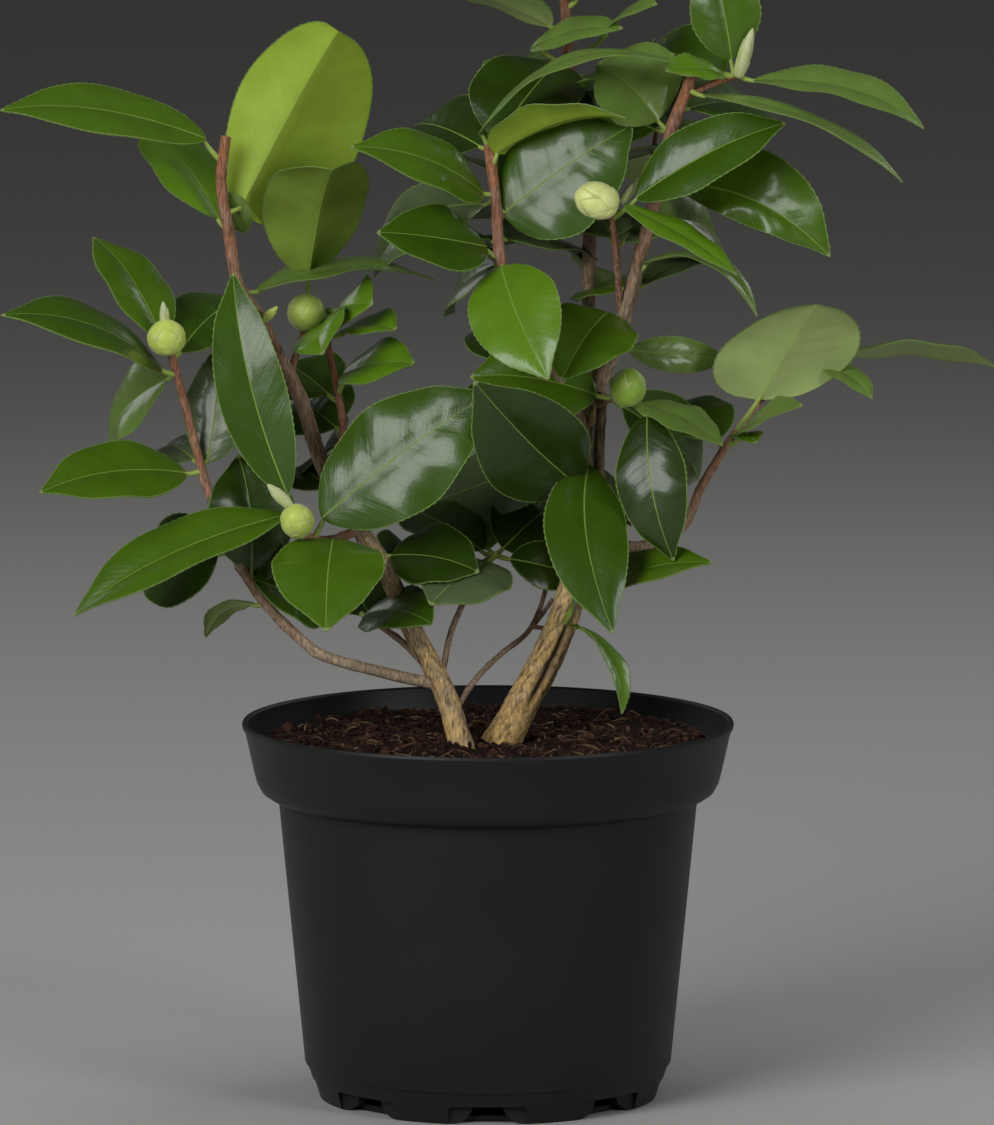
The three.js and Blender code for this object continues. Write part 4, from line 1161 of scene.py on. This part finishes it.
grow = random.Random(8)
twig_pile = Pile()
for name in limbs:
    if not name.startswith(("trunk", "bough")):
        bark(twig_pile, name, 1.0 * MM, 14)
back_pile = Pile(VEIN_MARKS)
shoot_tips = []
leaf_middles = [skin[len(skin) // 2, skin.shape[1] // 2] for skin in placed]
for name, (start, stop) in SHOOT_LIMBS.items():
    limb = limbs[name]
    count = round((stop - start) * limb.length / SHOOT_SPACING)
    for step in range(count * SHOOT_TRIES):
        share = start + (stop - start) * ((step % count) + grow.random()) / count
        foot = limb.at(share)
        way = unit([grow.uniform(-0.9, 0.9), grow.uniform(0.35, 1), grow.uniform(-0.15, 0.8)])
        length = grow.uniform(22, 68) * MM
        bow = np.array([grow.uniform(-1, 1), grow.uniform(-1, 1), 1.2]) * length * 0.12
        along = np.linspace(0, 1, SHOOT_STEPS + 1)[:, None]
        path = foot + way * length * along + bow * along ** 2
        bud_tip = path[-1] + unit(path[-1] - path[-2]) * SHOOT_BUD
        clear = [p for p in path if abs(p[0] - foot[0]) > limb.radius(share)]
        outside = (path < box_low).any() or (path > box_high).any()
        if outside or shaded([*clear, bud_tip]) < HIDDEN:
            continue
        side = unit(np.cross(way, (0, 0, 1)))
        grown = 0
        spiral = grow.random() * math.tau
        for leaf in range(SHOOT_LEAVES):
            share_up = 0.3 + 0.7 * leaf / (SHOOT_LEAVES - 1)
            base = path[round(share_up * SHOOT_STEPS)]
            out = turned(side, way, spiral + BUD_SPIRAL * leaf)
            spread = LEAF_SPREAD * (1.15 - 0.45 * share_up)
            sag = np.array([0, 0, -0.12])
            reach_way = unit(way * math.cos(spread) + out * math.sin(spread) + sag)
            size = grow.uniform(52, 82) * MM
            reach = reach_way * size
            face = unit([grow.uniform(-0.5, 0.5), grow.uniform(-0.1, 0.7), 1])
            flat = np.cross(reach_way, face)
            probes = [base + reach * s + unit(flat) * w * size for s in (0.3, 0.6, 0.85, 1.0)
                      for w in (-0.26, 0, 0.26)]
            middle = base + reach * 0.55
            crowded = any(np.linalg.norm(middle - other) < LEAF_ROOM for other in leaf_middles)
            inside = all((p > box_low).all() and (p < box_high).all() for p in probes)
            if crowded or not inside or abs(reach_way @ face) > 0.85 or shaded(probes) < HIDDEN:
                continue
            leaf_middles.append(middle)
            grown += 1
            upper = grow.choices(("dark", "deep", "green", "soft"), (3, 5, 4, 1))[0]
            blade(back_pile, base, reach, size * grow.uniform(0.42, 0.52), face,
                  upper + " " + grow.choice(("olive", "dim", "sage")), fine=False,
                  twist=grow.uniform(-20, 20), phase=grow.random(), fold=grow.uniform(8, 20),
                  arch=grow.uniform(0.03, 0.1), stalk=5 * MM)
        if grown:
            radii = np.linspace(1.5, 0.9, SHOOT_STEPS + 1) * MM
            twig_pile.add_tube(path, radii, 8, 0, SHOOT_AGE)
            shoot_tips.append((path[-1], unit(path[-1] - path[-2])))
back_leaves = back_pile.make("leaves_back", leaf_materials, 50)
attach(back_leaves, "root")
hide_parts(*[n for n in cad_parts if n.startswith("mass_spray")])

twigs = twig_pile.make("twigs", [stem_bark, cut_wood])
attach(twigs, "root")
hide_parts(*[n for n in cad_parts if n.startswith("twig")])

# ---------------------------------------------------------------- buds
# Next spring's flowers: fat buds at the shoot tips, wrapped in overlapping silky scales, with
# the slender pointed buds of new shoots beside them.

FLOWER_BUDS = [                  # foot, tip, thickness, colour
    ((-121, -35, 292.5), (-123.5, -38, 305.5), 14.2, "green"),
    ((-71.5, -28, 224.5), (-74, -40, 232), 12.4, "green"),
    ((-70, 13, 297), (-70, 7, 310.5), 14, "olive"),
    ((49.5, -20.5, 347.4), (33.2, -23.5, 352.4), 13.8, "pale"),
    ((52.5, -13, 270), (55, -15, 284.6), 13, "fresh"),
]
SHOOT_BUDS = [
    ((-122.6, -34, 301), (-123.4, -36, 312.6), 3.4, "tip"),
    ((-74.5, -30, 232.5), (-84.2, -31, 242), 4.2, "tip"),
    ((50.6, -14, 347.5), (57.6, -12, 357.5), 3.4, "tip"),
    ((95.6, -4, 395), (101.2, -6, 414.3), 4.8, "tip"),
    ((-86.5, -4, 301.5), (-80.5, -7, 307.5), 3, "green"),
    ((30, 20, 437), (31, 19, 446), 3, "tip"),
]
# The flower buds' tints, green, olive and pale, are partly the buds' own pale green and partly
# painted light: they were raised to make up for the shade they sit in, most of all olive and pale.
BUD_TINTS = {"green": "#cadc64", "olive": "#b4c85a", "pale": "#eef49c", "tip": "#c9d29c",
             "fresh": "#9abe40", "scale_edge": "#c3d07c"}
BUD_FINISH = {name: i for i, name in enumerate(BUD_TINTS)}
SCALE_THICK = 0.3 * MM
SCALE_FOOT = 0.12                # where a scale starts, as an angle from the bud's foot

# Bud scales: green tissue under a silky down, so soft-edged light and hardly any gloss.
bud_materials = [mottled_material("silky_bud_" + name, linear(colour, 0.78), linear(colour),
                                  3 * MM, 3, {"Roughness": 0.48, "Sheen Weight": 0.25})
                 for name, colour in BUD_TINTS.items()]


def bud(pile, foot, tip, thick, colour, rounds, point):
    """A bud from foot to tip: its heart, then rounds of scales (count, reach, width)."""
    foot = np.array(foot) * MM
    axis = np.array(tip) * MM - foot
    length = np.linalg.norm(axis)
    way = axis / length
    across = unit(np.cross(way, (0.3, 0.2, 0.9)))
    other = np.cross(way, across)

    def profile(polar):
        sharp = np.where(polar > math.pi / 2, 1 + point, 0.85)
        return thick * MM / 2 * np.clip(np.sin(polar), 0.02, 1) ** sharp

    polar = np.linspace(0, math.pi, 15)
    path = foot + way * ((1 - np.cos(polar)) / 2 * length)[:, None]
    path[0] -= way * 0.2 * MM
    pile.add_tube(path, profile(polar), 20, BUD_FINISH[colour])
    rise = np.linspace(0, 1, 9)[:, None]
    sideways = np.linspace(-1, 1, 9)[None, :]
    strips = np.full(8, BUD_FINISH[colour])
    strips[[0, -1]] = BUD_FINISH["scale_edge"]
    for layer, (count, top, width) in enumerate(rounds):
        proud = (0.22 + 0.2 * (len(rounds) - layer)) * MM
        for i in range(count):
            middle = math.tau * i / count + layer * 1.9
            angle = SCALE_FOOT + rise * (top - SCALE_FOOT) + 0 * sideways
            half = width * np.cos(math.pi / 2 * np.minimum(rise, 0.985) ** 2.6) ** 0.8
            turn = middle + sideways * half
            ring = (across * np.cos(turn)[..., None] + other * np.sin(turn)[..., None])
            core = foot + way * ((1 - np.cos(angle)) / 2 * length)[..., None]
            hug = proud * (1 - 0.55 * np.abs(sideways) ** 3) * (1 - 0.25 * rise)
            radius = profile(angle)
            outer = core + ring * (radius + hug)[..., None]
            inner = core + ring * (radius + hug - SCALE_THICK)[..., None]
            shell(pile, outer, inner, strips, strips, BUD_FINISH["scale_edge"])


# Rounds of scales from the foot up: how many, and how high and how wide they are in radians.
FLOWER_SCALES = [(3, 1.1, 1.0), (4, 1.7, 0.95), (5, 2.45, 0.85)]
SHOOT_SCALES = [(2, 1.3, 1.2), (3, 2.1, 1.0)]
BACK_SCALES = [(2, 1.6, 1.2)]
BACK_THICK = 2.6                 # mm
BLUNT = 0.12
POINTED = 0.5
bud_pile = Pile()
for row in FLOWER_BUDS:
    bud(bud_pile, *row, FLOWER_SCALES, BLUNT)
for row in SHOOT_BUDS:
    bud(bud_pile, *row, SHOOT_SCALES, POINTED)
for tip, way in shoot_tips:
    bud(bud_pile, tip / MM, tip / MM + way * SHOOT_BUD / MM, BACK_THICK, "tip", BACK_SCALES,
        POINTED)
buds = bud_pile.make("buds", bud_materials, 50)
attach(buds, "root")
